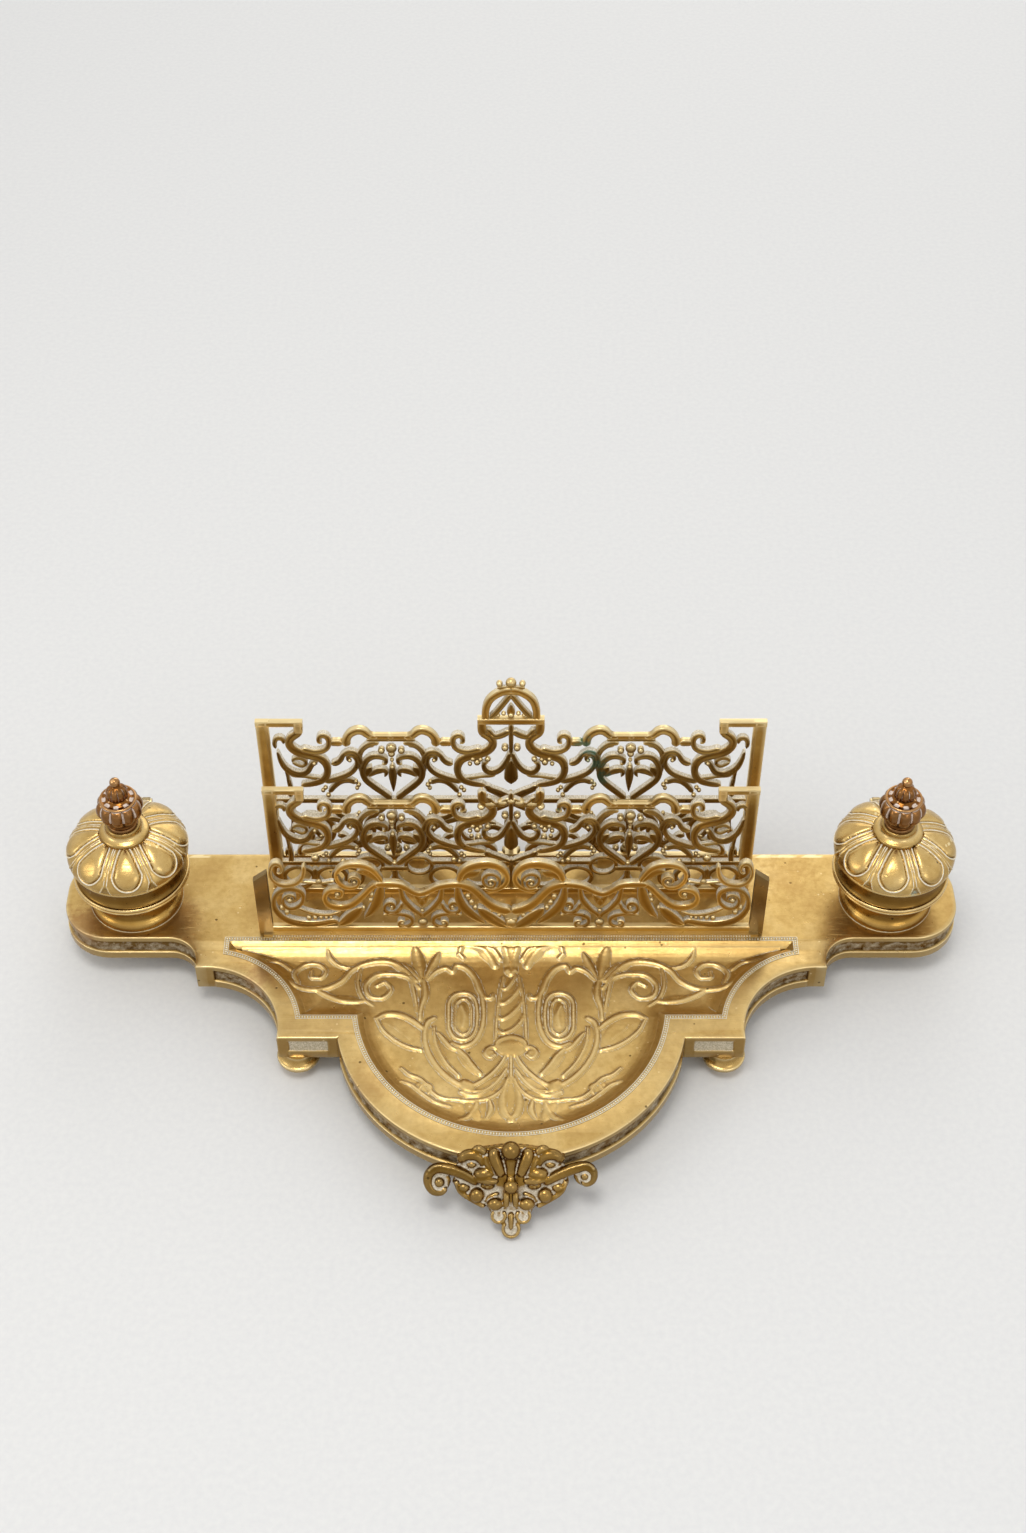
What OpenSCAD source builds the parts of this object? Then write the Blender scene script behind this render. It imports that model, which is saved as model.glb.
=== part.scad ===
/* [Plate] */
// Overall width of the plate across both wings
plate_w = 380; // [310:1:460]
// Reach of the plate from its back edge to the front of the round tray end
plate_reach = 155.7; // [129:0.1:187]
// Height of the plate's edge
plate_t = 13.5; // [11.2:0.1:16.2]
// Depth of the wings that carry the inkwells
wing_d = 46.8; // [45:0.1:56]
// Length of each wing from its end to the nib
wing_len = 58.5; // [55:0.1:62]
// Corner radius of the wing ends
wing_r = 20; // [12:0.5:22]
// Radius of the inner fillet between wing and nib
fillet_r = 12.6; // [9:0.1:14]
// Step of the nib beside the cove
nib_step = 4.2; // [4.2:0.1:6]
// Depth of the nib below the fillet
nib_drop = 2.7; // [2:0.1:4]
// Radius of the cove between the nib and the front block
cove_r = 32.3; // [27:0.1:38.8]
// Width of each front block
block_w = 24.6; // [20.5:0.1:29.5]
// Drop of the block's front face below the end of the cove
block_drop = 3.8; // [3:0.1:6]
// Thickness of the plate's top skin
skin = 3.5; // [3:0.1:4.2]
// Thickness of the plate's skirt at its bands
skirt = 4; // [3.4:0.1:4.1]
// Depth of the channel in the edge
channel = 1.3; // [0.8:0.1:1.5]
// Height of the edge's upper band
band_top = 2.4; // [2:0.1:2.9]
// Height of the edge's lower band
band_low = 4.5; // [3.8:0.1:5.4]

/* [Tray] */
// Width of the rim between the plate's edge and the dish
rim = 8.4; // [6.5:0.1:10]
// Depth of the pen dish
dish = 4; // [3.3:0.1:4.8]
// Thickness of the dish's floor
dish_floor = 2.5; // [2:0.1:3]
// Gap between the front gallery and the dish
dish_gap = 3.2; // [2.6:0.1:4]

/* [Galleries] */
// Gap from the front gallery's end to the line of the nib
gallery_gap = 25.5; // [20:0.1:31]
// Height of the back gallery to its corner brackets
back_h = 82.5; // [69:0.5:99]
// Height of the middle gallery to its corner brackets
middle_h = 64.8; // [54:0.5:72]
// Height of the front gallery's end posts
front_h = 39.2; // [33:0.2:46]
// Thickness of the middle and back galleries
gallery_t = 2.4; // [2:0.1:2.9]
// Thickness of the front gallery
front_t = 2.6; // [2.2:0.1:3.1]
// Place of the middle gallery's front face, from the back edge
middle_f = 22.5; // [20:0.1:25]
// Place of the front gallery's front face, from the back edge
front_f = 43.9; // [40:0.1:46]
// Place of the back gallery's front face, from the back edge
back_f = 3.8; // [3.6:0.1:6]
// Width of the gallery end posts
post_w = 5.9; // [5:0.1:7]
// Width of the gallery scroll bands
band_w = 3; // [2.4:0.1:3.6]
// Height of the arched crest above the back gallery's rail
crest_h = 25.4; // [21.1:0.1:30.5]
// Radius of the ball on the crest
crest_ball_r = 2.3; // [1.9:0.1:2.7]

/* [Inkwells] */
// Distance of the inkwell's centre from the end of the wing
well_in = 30.1; // [28:0.1:33]
// Place of the inkwell's centre, from the back edge
well_f = 24.2; // [22:0.1:26]
// Radius of the inkwell's base ring
well_base_r = 19.7; // [18.4:0.1:21.5]
// Radius of the inkwell's ring moulding
well_ring_r = 24.4; // [23.6:0.1:25]
// Height of the inkwell's body
well_h = 29.3; // [24.4:0.1:35.2]
// Radius of the space for the liner
well_bore_r = 15.3; // [13:0.1:15.8]
// Thickness of the inkwell's floor
well_floor = 4.6; // [4:0.1:5.5]
// Radius of the liner's flange
flange_r = 19.4; // [17.8:0.1:19.5]
// Thickness of the liner's flange
flange_t = 2.4; // [1.8:0.1:2.6]
// Wall of the glass liner
liner_wall = 2.4; // [1.8:0.1:3]
// Clearance round the liner
liner_gap = 0.4; // [0.3:0.05:0.6]
// Widest radius of the lid's dome
lid_r = 25.2; // [24.8:0.1:26.2]
// Height of the lid from its lip to the finial's seat
lid_h = 18.7; // [15.6:0.1:22.4]
// Wall of the lid
lid_wall = 2.1; // [1.7:0.1:2.6]
// Widest radius of the finial's fluted bulb
finial_r = 9.6; // [8:0.1:11.5]
// Height of the finial without its ball
finial_h = 22.6; // [18.8:0.1:27.1]
// Radius of the finial's ball
finial_ball_r = 2.2; // [1.85:0.05:2.65]

/* [Hinges] */
// Distance of the hinge's axis outside the lid's rim
hinge_out = 3; // [2.5:0.1:3.4]
// Radius of the hinge knuckles
knuckle_r = 2.1; // [1.8:0.1:2.3]
// Width of the lid's knuckle
knuckle_w = 5; // [4:0.1:7]
// Width of each of the body's two knuckles
ear_w = 3; // [2.4:0.1:4]
// Radius of the hinge pin
pin_r = 1; // [0.8:0.05:1.2]
// Running clearance round the pin
pin_gap = 0.05; // [0.03:0.01:0.08]
// Side gap between knuckles
knuckle_gap = 0.25; // [0.2:0.05:0.4]

/* [Feet and mask] */
// Height of the feet, which is the gap under the plate
foot_h = 11; // [9.2:0.1:13.2]
// Radius of the foot's turned disc
foot_r = 8.9; // [7.5:0.1:9.5]
// Radius of the foot's peg
peg_r = 4.9; // [4.5:0.1:5.9]
// Distance of the front feet from the block's outer side
foot_side = 7.5; // [7:0.1:9]
// Distance of the front feet behind the block's face
foot_back = 5.2; // [5:0.1:7]
// Distance of the rear feet from the wing's end
rear_side = 16; // [15:0.1:17.5]
// Slope of the mask mount, from level
mask_tilt = 45; // [42:0.5:48]
// Thickness of the mask mount's shield
mask_t = 7; // [6:0.1:8]
// Length of the mask mount down its slope
mask_len = 38.2; // [37.6:0.1:42]
// Height at which the mask mount's slope starts, above the plate
mask_rise = 2; // [1.6:0.1:2.4]
// Place at which the slope starts, behind the plate's front
mask_back = 5.7; // [5:0.1:6.4]
// Half the width of the mask mount across its volutes
mask_half = 34.4; // [30:0.1:38]

/* [Fasteners] */
// Radius of the foot and inkwell screws
screw_r = 2; // [1.7:0.05:2.2]
// Radius of the gallery screws
small_r = 1; // [0.8:0.05:1.1]
// Radius of the mask screws
mask_screw_r = 1.25; // [1:0.05:1.5]
// Clearance round a screw in a threaded hole
thread_gap = 0.05; // [0.03:0.01:0.1]
// Clearance round a screw in a plain hole
plain_gap = 0.15; // [0.1:0.01:0.3]

/* [Hidden] */
$fn = 64;
eps = 0.01;

// Plan of the plate: x across, f forward from the back edge
half_w = plate_w / 2;
nib_x = half_w - wing_len;
fillet_x = nib_x + fillet_r;
fillet_f = wing_d + fillet_r;
nib_f = fillet_f + nib_drop;
cove_x = nib_x - nib_step;
cove_f = nib_f + cove_r;
block_out = cove_x - cove_r;
block_f = cove_f + block_drop;
round_x = block_out - block_w;
round_rise = plate_reach - block_f;
round_r = (round_x * round_x + round_rise * round_rise) / (2 * round_rise);
round_f = plate_reach - round_r;

// Heights from the table
plate_z = foot_h;
top_z = foot_h + plate_t;
skin_z = top_z - skin;

// Gallery half widths, each a little narrower than the one in front
front_half = nib_x - gallery_gap;
back_half = front_half - 2;
middle_half = front_half - 4.5;

// Inkwell places
well_x = half_w - well_in;
hinge_r = lid_r + hinge_out;
hinge_z = top_z + well_h;
lid_seat = well_h + lid_h;
ledge = well_h - flange_t - 0.3;

// The origin is at the middle of the whole object's length and depth, on the table
slope_len = min(mask_len, (top_z + mask_rise) / sin(mask_tilt));
front_end = plate_reach - mask_back + slope_len * cos(mask_tilt);
back_end = hinge_r + knuckle_r - well_f;
mid_f = (front_end - back_end) / 2;
function y_of(f) = mid_f - f;

// Front feet and rear feet, then the screws that hold them
foot_places = [
    [-(block_out - foot_side), block_f - foot_back],
    [block_out - foot_side, block_f - foot_back],
    [-(half_w - rear_side), well_f],
    [half_w - rear_side, well_f]
];
boss_r = screw_r + 2.2;
foot_head_r = screw_r + 1.1;
head_h = 2;
head_sink = 0.5;
foot_bore_top = plate_z + 8.5;

// Screws that hold each gallery in lugs at its end posts and its middle
lug_h = 9;
small_head_r = small_r + 1.2;
small_head_h = 1.6;
small_len = 7;
lug_room = small_r + 0.8;
back_screw_f = max(back_f - gallery_t / 2, skirt + small_head_r + 0.2);
gallery_rows = [
    [front_half, front_f - lug_room - 0.3],
    [middle_half, middle_f - lug_room - 0.3],
    [back_half, back_screw_f]
];

// Seat cut into the plate's front corner for the mask mount, and the screws through the skirt below it
seat_half = 21;
seat_in = 6.5;
seat_h = 5.2;
seat_floor = 2.3;
mask_screw_x = 7.5;
mask_screw_z = plate_z + 3.2;
mask_screw_in = 4;
mask_head_r = mask_screw_r + 1.2;
mask_head_h = 2;

brass = "darkgoldenrod";
bronze = "peru";
steel = "lightsteelblue";
clear = "azure";

// Points along an arc
function arc(cx, cy, r, a0, a1, n) =
    [for (i = [0:n]) let (a = a0 + (a1 - a0) * i / n) [cx + r * cos(a), cy + r * sin(a)]];

// Angle at which an arc that turns inward meets a straight edge before its quarter is done
function cut_angle(rise, r) = -180 - asin(max(-1, min(0, rise / r)));

// Right half of the plate's outline, drawn in from the edge by d
function half_outline(d) = concat(
    [[0, d]],
    arc(half_w - wing_r, wing_r, wing_r - d, -90, 0, 8),
    arc(half_w - wing_r, wing_d - wing_r, wing_r - d, 0, 90, 8),
    arc(fillet_x, fillet_f, fillet_r + d, -90, cut_angle(nib_f - d - fillet_f, fillet_r + d), 8),
    [[nib_x - d, nib_f - d]],
    arc(cove_x, cove_f, cove_r + d, -90, cut_angle(block_f - d - cove_f, cove_r + d), 14),
    [[block_out - d, block_f - d]],
    arc(0, round_f, round_r - d, asin((block_f - d - round_f) / (round_r - d)), 89, 18)
);

// Right half of the dish's outline, a rim in from the plate's edge and d further. Each step goes
// so far in and down by that share of the depth
dish_f = front_f + dish_gap;
dish_x = nib_x - rim - 3.6;
dish_block_f = block_f - rim - 2;
dish_round_r = round_r - rim + 0.9;
dish_round_f = plate_reach - rim - 3.1 - dish_round_r;
dish_steps = [[0.9, 0.12], [2.8, 0.4], [5.6, 0.75], [9, 1]];
function half_dish(d) =
    let (
        r = cove_r + rim + d, x = dish_x - d, back = dish_f + d, step = dish_block_f - d,
        side_a = -acos((x - cove_x) / r), back_a = cut_angle(back - cove_f, r)
    ) concat(
        [[0, back]], side_a < back_a ? [[x, back]] : [],
        arc(cove_x, cove_f, r, min(side_a, back_a), cut_angle(step - cove_f, r), 12),
        arc(0, dish_round_f, dish_round_r - d, asin((step - dish_round_f) / (dish_round_r - d)), 89, 18)
    );

function mirrored(half) = concat(half, [for (i = [len(half) - 1:-1:1]) [-half[i][0], half[i][1]]]);

// Turns a plan drawn forward from the back edge into a plan in the part's frame
module plan(z0, z1) {
    translate([0, mid_f, z0]) linear_extrude(z1 - z0) mirror([0, 1, 0]) children();
}

module at_plan(x, f, z) {
    translate([x, y_of(f), z]) children();
}

module plate_slice(d, z0, z1) {
    plan(z0, z1) polygon(mirrored(half_outline(d)));
}

module dish_slice(d, z0, z1) {
    plan(z0, z1) polygon(mirrored(half_dish(d)));
}

// Channel round the edge, which stops at solid piers by the nibs and the block corners
module channel_cut() {
    pier = 4.5;
    low = plate_z + band_low;
    high = top_z - band_top;
    difference() {
        plate_slice(-2, low, high);
        plate_slice(channel, low - 1, high + 1);
        for (s = [-1, 1]) {
            at_plan(s * (nib_x - 3), nib_f, low - 1) translate([-4.5, -5, 0]) cube([10, 9, plate_t]);
            for (x = [block_out, round_x]) at_plan(s * x, block_f, low - 1)
                translate([-pier, -pier, 0]) cube([2 * pier, 2 * pier, plate_t]);
        }
    }
}

// Space under the plate, with the dish's underside, the screw bosses and the mask seat's floor left in it
module hollow_cut() {
    dish_low = top_z - dish - dish_floor;
    difference() {
        plate_slice(skirt, plate_z - 1, skin_z);
        dish_slice(-1.6, dish_low, skin_z + 1);
        for (p = foot_places) at_plan(p[0], p[1], plate_z - 2) cylinder(r = boss_r, h = plate_t);
        translate([-seat_half - 2, y_of(plate_reach - skirt) - 1, top_z - seat_h - seat_floor])
            cube([2 * seat_half + 4, seat_in, seat_h]);
    }
}

// Seat for the mask mount; gap makes it smaller on every side
module mask_seat(gap) {
    translate([-seat_half + gap, y_of(plate_reach) - 5, top_z - seat_h + gap])
        cube([2 * (seat_half - gap), seat_in + 5 - gap, seat_h + 5]);
}

module base_plate() {
    color(brass) difference() {
        plate_slice(0, plate_z, top_z);
        channel_cut();
        hollow_cut();
        mask_seat(0);
        for (d = dish_steps) dish_slice(d[0], top_z - dish * d[1], top_z + 1);
        for (p = foot_places) at_plan(p[0], p[1], plate_z - 1)
            cylinder(r = screw_r + thread_gap, h = foot_bore_top - plate_z + 1);
        for (s = [-1, 1]) at_plan(s * well_x, well_f, skin_z - 1)
            cylinder(r = screw_r + plain_gap, h = skin + 2);
        for (g = gallery_rows, s = [-1, 0, 1])
            at_plan(s * (g[0] - post_w / 2), g[1], skin_z - 1) cylinder(r = small_r + plain_gap, h = skin + 2);
        for (s = [-1, 1]) translate([s * mask_screw_x, y_of(plate_reach) - 1, mask_screw_z]) rotate([-90, 0, 0]) {
            cylinder(r = mask_screw_r + plain_gap, h = skirt + 4);
            translate([0, 0, skirt + 1]) cylinder(r = mask_head_r + 0.3, h = mask_head_h + 1);
        }
    }
}

// Flat bar between two points of a gallery
module bar(a, b, w) {
    run = b - a;
    translate(a) rotate(atan2(run[1], run[0])) translate([0, -w / 2]) square([norm(run), w]);
}

// Openwork of a gallery: its bars as children and its round scrolls as [x, z, radius], left open inside
module openwork(scrolls, w) {
    difference() {
        union() {
            children();
            for (c = scrolls) translate([c[0], c[1]]) circle(r = c[2]);
        }
        for (c = scrolls) translate([c[0], c[1]]) circle(r = c[2] - w);
    }
}

module both_sides() {
    children();
    mirror([1, 0]) children();
}

// Stands a gallery's front view upright with its front face at f
module upright(f, t) {
    at_plan(0, f, top_z) rotate([90, 0, 0]) translate([0, 0, -t]) linear_extrude(t) children();
}

// Adds a gallery's three screw lugs, each from its face at f to behind or before its screw, and bores them
module with_lugs(row, f) {
    lug = post_w - 0.6;
    ends = [min(f - 0.4, row[1] - lug_room), max(f - 0.4, row[1] + lug_room)];
    difference() {
        union() {
            children();
            for (s = [-1, 0, 1]) translate([s * (row[0] - post_w / 2) - lug / 2, y_of(ends[1]), top_z])
                cube([lug, ends[1] - ends[0], lug_h]);
        }
        for (s = [-1, 0, 1]) at_plan(s * (row[0] - post_w / 2), row[1], top_z - 1)
            cylinder(r = small_r + thread_gap, h = small_len + 1.5, $fn = 32);
    }
}

// Corner bracket, hearts and scrolls that the middle and back galleries share.
// half: half width; h: height to the brackets; bar_z: height of the lower bar
module gallery_view(half, h, bar_z) {
    k = half / 104;
    bracket_w = 18.6 * k;
    rail_z = h - 4;
    heart_r = (rail_z - bar_z) / 3.1;
    heart = [48.5 * k, rail_z - heart_r + 1, heart_r];
    side = [72 * k, heart[1], min(11.5 * k, (rail_z - bar_z) / 3.4)];
    leaf = [17 * k, heart[1], side[2] * 0.8];
    low_r = bar_z / 2;
    low = [for (x = [16, 48.5, 81]) [x * k, low_r + 0.6, low_r]];
    foot_z = bar_z - 0.5;
    translate([-half, 0]) square([2 * half, 4]);
    translate([-half, bar_z - 2]) square([2 * half, band_w]);
    both_sides() {
        translate([half - post_w, 0]) square([post_w, h]);
        translate([half - bracket_w, h - 3.8]) square([bracket_w, 3.8]);
        translate([half - bracket_w, h - 13]) square([3.4, 13]);
        bar([heart[0], heart[1] + heart_r - 1], [heart[0], bar_z], band_w);
        for (s = [-1, 1]) bar([heart[0] + s * heart_r * 0.8, heart[1] - heart_r * 0.55],
            [heart[0] + s * 1.2, foot_z], band_w);
        openwork(low, band_w) for (x = [32, 65] * k) bar([x, 2], [x, bar_z], band_w);
        openwork([heart, side, leaf], band_w) {
            bar([half - 17 * k, h - 11], [side[0], side[1] + side[2] / 2], band_w + 0.6);
            bar([side[0], side[1]], [half - post_w + 1, foot_z], band_w);
            bar([side[0] - side[2] * 0.7, side[1]], [side[0] - side[2] * 0.7, foot_z], band_w);
            bar([side[0], side[1]], [side[0], rail_z - 2], band_w);
            bar([heart[0], rail_z - 2], [side[0] + 2, rail_z - 2], band_w);
            bar([0, rail_z - 1], [heart[0], rail_z - 1], band_w);
            bar([leaf[0], leaf[1]], [leaf[0], rail_z], band_w);
            bar([leaf[0], leaf[1]], [5 * k, foot_z], band_w);
            bar([leaf[0], leaf[1]], [heart[0], heart[1]], band_w);
        }
    }
}

module front_gallery() {
    k = front_half / 106;
    z = front_h / 39.2;
    m = min(k, z);
    outer_x = 91 * k;
    low = [outer_x, 3.4 + 9.6 * m, 9.6 * m];
    high = [outer_x, low[1] + 18.5 * m, 10.2 * m];
    leaf = [66 * k, 29.5 * z, 10.4 * m];
    curl_z = 3.5 + 9 * m;
    heart = [9.8 * m, 34.5 * z, 11 * m];
    scrolls = [low, high, leaf, [46 * k, curl_z, 9 * m], [28.5 * k, curl_z, 9 * m], heart];
    color(brass) with_lugs(gallery_rows[0], front_f) upright(front_f, front_t) union() {
        translate([-front_half, 0]) square([2 * front_half, 4.7]);
        bar([0, 4], [0, heart[1] - 2], band_w + 1);
        both_sides() {
            polygon([
                [front_half, 0], [front_half, front_h - 5.1],
                [front_half - post_w, front_h], [front_half - post_w, 0]
            ]);
            openwork(scrolls, band_w + 0.4) {
                for (c = [low, high]) bar([c[0], c[1]], [front_half - 1, c[1]], band_w);
                bar([outer_x, 4], [60 * k, 22 * z], band_w + 0.6);
                bar([60 * k, 22 * z], [leaf[0], leaf[1]], band_w + 0.6);
                bar([high[0], high[1]], [leaf[0], leaf[1]], band_w);
                bar([leaf[0], leaf[1]], [52 * k, 36 * z], band_w + 0.6);
                bar([54 * k, 35 * z], [38 * k, 28 * z], band_w + 0.8);
                bar([38 * k, 28 * z], [24 * k, 35.5 * z], band_w + 0.8);
                bar([24 * k, 35.5 * z], [heart[0], heart[1]], band_w + 0.8);
                bar([38 * k, 4], [38 * k, 28 * z], band_w);
                bar([52 * k, 35 * z], [46 * k, curl_z], band_w);
                bar([26 * k, 34 * z], [28.5 * k, curl_z], band_w);
                bar([24 * k, 35 * z], [0, 15 * z], band_w + 1);
            }
        }
    }
}

module middle_gallery() {
    color(brass) with_lugs(gallery_rows[1], middle_f) upright(middle_f, gallery_t) union() {
        gallery_view(middle_half, middle_h, middle_h * 0.3);
        for (x = [-9, -3, 3, 9]) translate([x, middle_h - 6]) circle(r = 3.4);
    }
}

module back_gallery() {
    rail = back_h + 1;
    apex = back_h - 4 + crest_h;
    arch_r = 11.8;
    color(brass) with_lugs(gallery_rows[2], back_f) {
        upright(back_f, gallery_t) union() {
            gallery_view(back_half, back_h, back_h * 0.47);
            translate([-13.6, rail]) square([27.2, 2.6]);
            translate([-8.4, rail - 8]) square([3.4, 9]);
            translate([5, rail - 8]) square([3.4, 9]);
            translate([0, rail + 2]) difference() {
                scale_arch(arch_r, apex - rail - 2);
                scale_arch(arch_r - 2.4, apex - rail - 4.6);
                translate([-20, -10]) square([40, 10]);
            }
            bar([0, rail], [0, apex + 2], 2.6);
            bar([-5, apex + 1], [5, apex + 1], 1.8);
        }
        at_plan(0, back_f - gallery_t / 2, top_z + apex + crest_ball_r + 0.8) sphere(r = crest_ball_r);
        for (s = [-1, 1]) at_plan(s * 5, back_f - gallery_t / 2, top_z + apex + 1.5) sphere(r = 1.6);
    }
}

// Pointed arch of half width w and height h
module scale_arch(w, h) {
    r = (w * w + h * h) / (2 * w);
    polygon(concat(arc(w - r, 0, r, 0, asin(h / r), 10),
        [for (p = arc(w - r, 0, r, asin(h / r), 0, 10)) if (p[0] > 0.05) [-p[0], p[1]]]));
}

// Turned inkwell body, open for its liner, with a hinge ear each side of the lid's knuckle
module well(side) {
    cav = well_base_r - 2.5;
    neck = well_ring_r - 2.8;
    low = (well_h - 29.3) / 2;
    color(brass) at_plan(side * well_x, well_f, top_z) difference() {
        union() {
            rotate_extrude($fn = 96) polygon([
                [0, 0], [well_base_r - 0.8, 0], [well_base_r, 0.8], [well_base_r, 2.6],
                [well_base_r - 1.1, 3.6], [cav + 0.4, 5.2], [cav, 7.5], [cav, 10.5 + low],
                [cav + 1.2, 13 + low], [cav + 3.4, 15.2 + low], [well_ring_r - 1.2, 16.4 + low],
                [well_ring_r - 0.2, 17.2 + low], [well_ring_r, 18.2 + low],
                [well_ring_r - 0.2, 19 + low], [well_ring_r - 0.9, 19.4 + low],
                [well_ring_r - 0.4, 19.9 + low], [well_ring_r - 0.4, 20.8 + low],
                [well_ring_r - 1.2, 21.3 + low], [neck + 0.2, 21.6 + low],
                [neck - 0.4, 23 + low], [neck - 0.6, 25 + 1.5 * low], [neck - 0.3, 27 + 2 * low],
                [neck + 0.3, well_h - 0.9], [neck + 0.5, well_h], [flange_r + liner_gap, well_h],
                [flange_r + liner_gap, ledge], [well_bore_r, ledge], [well_bore_r, well_floor],
                [0, well_floor]
            ]);
            for (s = [-1, 1]) translate([s * ear_x(), 0, 0]) hinge_ear();
        }
        translate([0, 0, -1]) cylinder(r = screw_r + thread_gap, h = well_floor + 2);
        translate([-10, hinge_r, well_h]) rotate([0, 90, 0])
            cylinder(r = pin_r + pin_gap, h = 20, $fn = 48);
    }
}

function ear_x() = knuckle_w / 2 + knuckle_gap + ear_w / 2;

module hinge_ear() {
    translate([-ear_w / 2, hinge_r, well_h]) rotate([0, 90, 0]) cylinder(r = knuckle_r, h = ear_w, $fn = 48);
    start = flange_r + liner_gap + 0.3;
    translate([-ear_w / 2, start, well_h - 5.6]) cube([ear_w, hinge_r + knuckle_r - start, 3.6]);
    translate([-ear_w / 2, hinge_r - knuckle_r, well_h - 4]) cube([ear_w, 2 * knuckle_r, 4]);
}

module liner(side) {
    outer = well_bore_r - liner_gap;
    inner = outer - liner_wall;
    top = ledge + flange_t;
    color(clear, 0.6) at_plan(side * well_x, well_f, top_z) rotate_extrude($fn = 96) polygon([
        [0, well_floor + 0.2], [outer - 0.7, well_floor + 0.2], [outer, well_floor + 0.9],
        [outer, ledge], [flange_r, ledge], [flange_r, top - 0.4], [flange_r - 0.4, top],
        [inner + 0.7, top], [inner, top - 0.7], [inner, well_floor + 2.8], [0, well_floor + 2.8]
    ]);
}

// Domed lid with a stepped boss for its finial and a knuckle at the back.
// Heights run from the lid's lip, widths from its widest radius
module lid(side) {
    k = lid_h / 18.7;
    boss = 10.2;
    in_r = lid_r - lid_wall;
    color(brass) at_plan(side * well_x, well_f, top_z + well_h) difference() {
        union() {
            rotate_extrude($fn = 96) polygon([
                [lid_r - 2.9, 0], [lid_r - 0.8, 0], [lid_r - 0.3, 0.5], [lid_r - 0.3, 1.1], [lid_r - 0.6, 1.4],
                [lid_r - 0.1, 2 * k], [lid_r, 2.9 * k], [lid_r - 0.5, 4.7 * k], [lid_r - 1.9, 6.8 * k],
                [lid_r - 4, 8.9 * k], [lid_r - 6.9, 10.9 * k], [lid_r - 10.2, 12.4 * k],
                [lid_r - 13.4, 13.3 * k], [boss, 13.5 * k], [boss, lid_h - 4.4], [boss - 0.6, lid_h - 3.7],
                [boss - 2, lid_h - 3.1], [boss - 2.7, lid_h - 2.2], [boss - 2.9, lid_h - 0.6],
                [boss - 3.5, lid_h], [0, lid_h],
                [0, 11.4 * k], [8.5, 11.4 * k], [11.6, 11.1 * k], [in_r - 8.1, 10.4 * k],
                [in_r - 4.5, 8.4 * k], [in_r - 1.8, 5.9 * k], [in_r - 0.6, 3.8 * k],
                [in_r - 0.5, 2.4 * k], [in_r - 0.6, 1.2]
            ]);
            translate([-knuckle_w / 2, hinge_r, 0]) rotate([0, 90, 0])
                cylinder(r = knuckle_r, h = knuckle_w, $fn = 48);
            translate([-knuckle_w / 2, lid_r - 2.4, 0.1])
                cube([knuckle_w, hinge_out + 2.4, knuckle_r - 0.1]);
        }
        translate([0, 0, lid_h - 10]) cylinder(r = screw_r + plain_gap, h = 11);
        translate([-10, hinge_r, 0]) rotate([0, 90, 0]) cylinder(r = pin_r + pin_gap, h = 20, $fn = 48);
    }
}

module hinge_pin(side) {
    reach = ear_x() + ear_w / 2 + 0.1;
    color(brass) at_plan(side * well_x, well_f - hinge_r, hinge_z) rotate([0, 90, 0]) {
        translate([0, 0, -reach]) cylinder(r = pin_r, h = 2 * reach, $fn = 48);
        for (s = [-1, 1]) translate([0, 0, s * (reach + 0.4) - 0.4]) cylinder(r = pin_r + 0.6, h = 0.8, $fn = 48);
    }
}

// Fluted finial with a threaded stud, standing on the lid's boss
module finial(side) {
    k = finial_h / 22.6;
    stud = lid_h - 11.4 * lid_h / 18.7 + 4;
    color(bronze) at_plan(side * well_x, well_f, top_z + lid_seat) {
        rotate_extrude($fn = 72) polygon([
            [0, 0], [6.2, 0], [6.5, 0.6 * k], [6.2, 1.2 * k], [5.4, 1.7 * k], [5.2, 2.6 * k],
            [5.8, 3.5 * k], [finial_r - 1.7, 5.3 * k], [finial_r - 0.3, 7.5 * k], [finial_r, 9.7 * k],
            [finial_r - 0.5, 12.1 * k], [finial_r - 1.6, 13.8 * k], [finial_r - 2.4, 14.6 * k],
            [finial_r - 2.4, 15.4 * k], [5, 15.8 * k], [4, 16.3 * k], [4.5, 17.6 * k], [4.4, 19.2 * k],
            [3.6, 20.9 * k], [2.3, 22 * k], [1.5, finial_h], [0, finial_h]
        ]);
        translate([0, 0, finial_h + finial_ball_r - 0.6]) sphere(r = finial_ball_r);
        translate([0, 0, -stud]) cylinder(r = screw_r, h = stud + 1);
    }
}

module finial_nut(side) {
    inner_top = 11.4 * lid_h / 18.7;
    color(steel) at_plan(side * well_x, well_f, top_z + well_h + inner_top - 3) difference() {
        cylinder(r = 4.1, h = 3, $fn = 6);
        translate([0, 0, -1]) cylinder(r = screw_r + thread_gap, h = 5);
    }
}

// Sloping shield with volutes, brows, nose and a trefoil tip, fitted to the plate's round end
module mask_mount() {
    color(brass) difference() {
        intersection() {
            at_plan(0, plate_reach - mask_back, top_z + mask_rise)
                rotate([mask_tilt, 0, 0]) mirror([0, 0, 1]) mask_relief();
            translate([-mask_half - 5, y_of(front_end), 0]) cube([2 * mask_half + 10, 60, top_z + 12]);
        }
        difference() {
            plate_slice(-eps, plate_z - 0.3, top_z);
            mask_seat(eps);
        }
        for (s = [-1, 1]) translate([s * mask_screw_x, y_of(plate_reach) - mask_screw_in, mask_screw_z])
            rotate([-90, 0, 0]) cylinder(r = mask_screw_r + thread_gap, h = 12, $fn = 32);
    }
}

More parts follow.
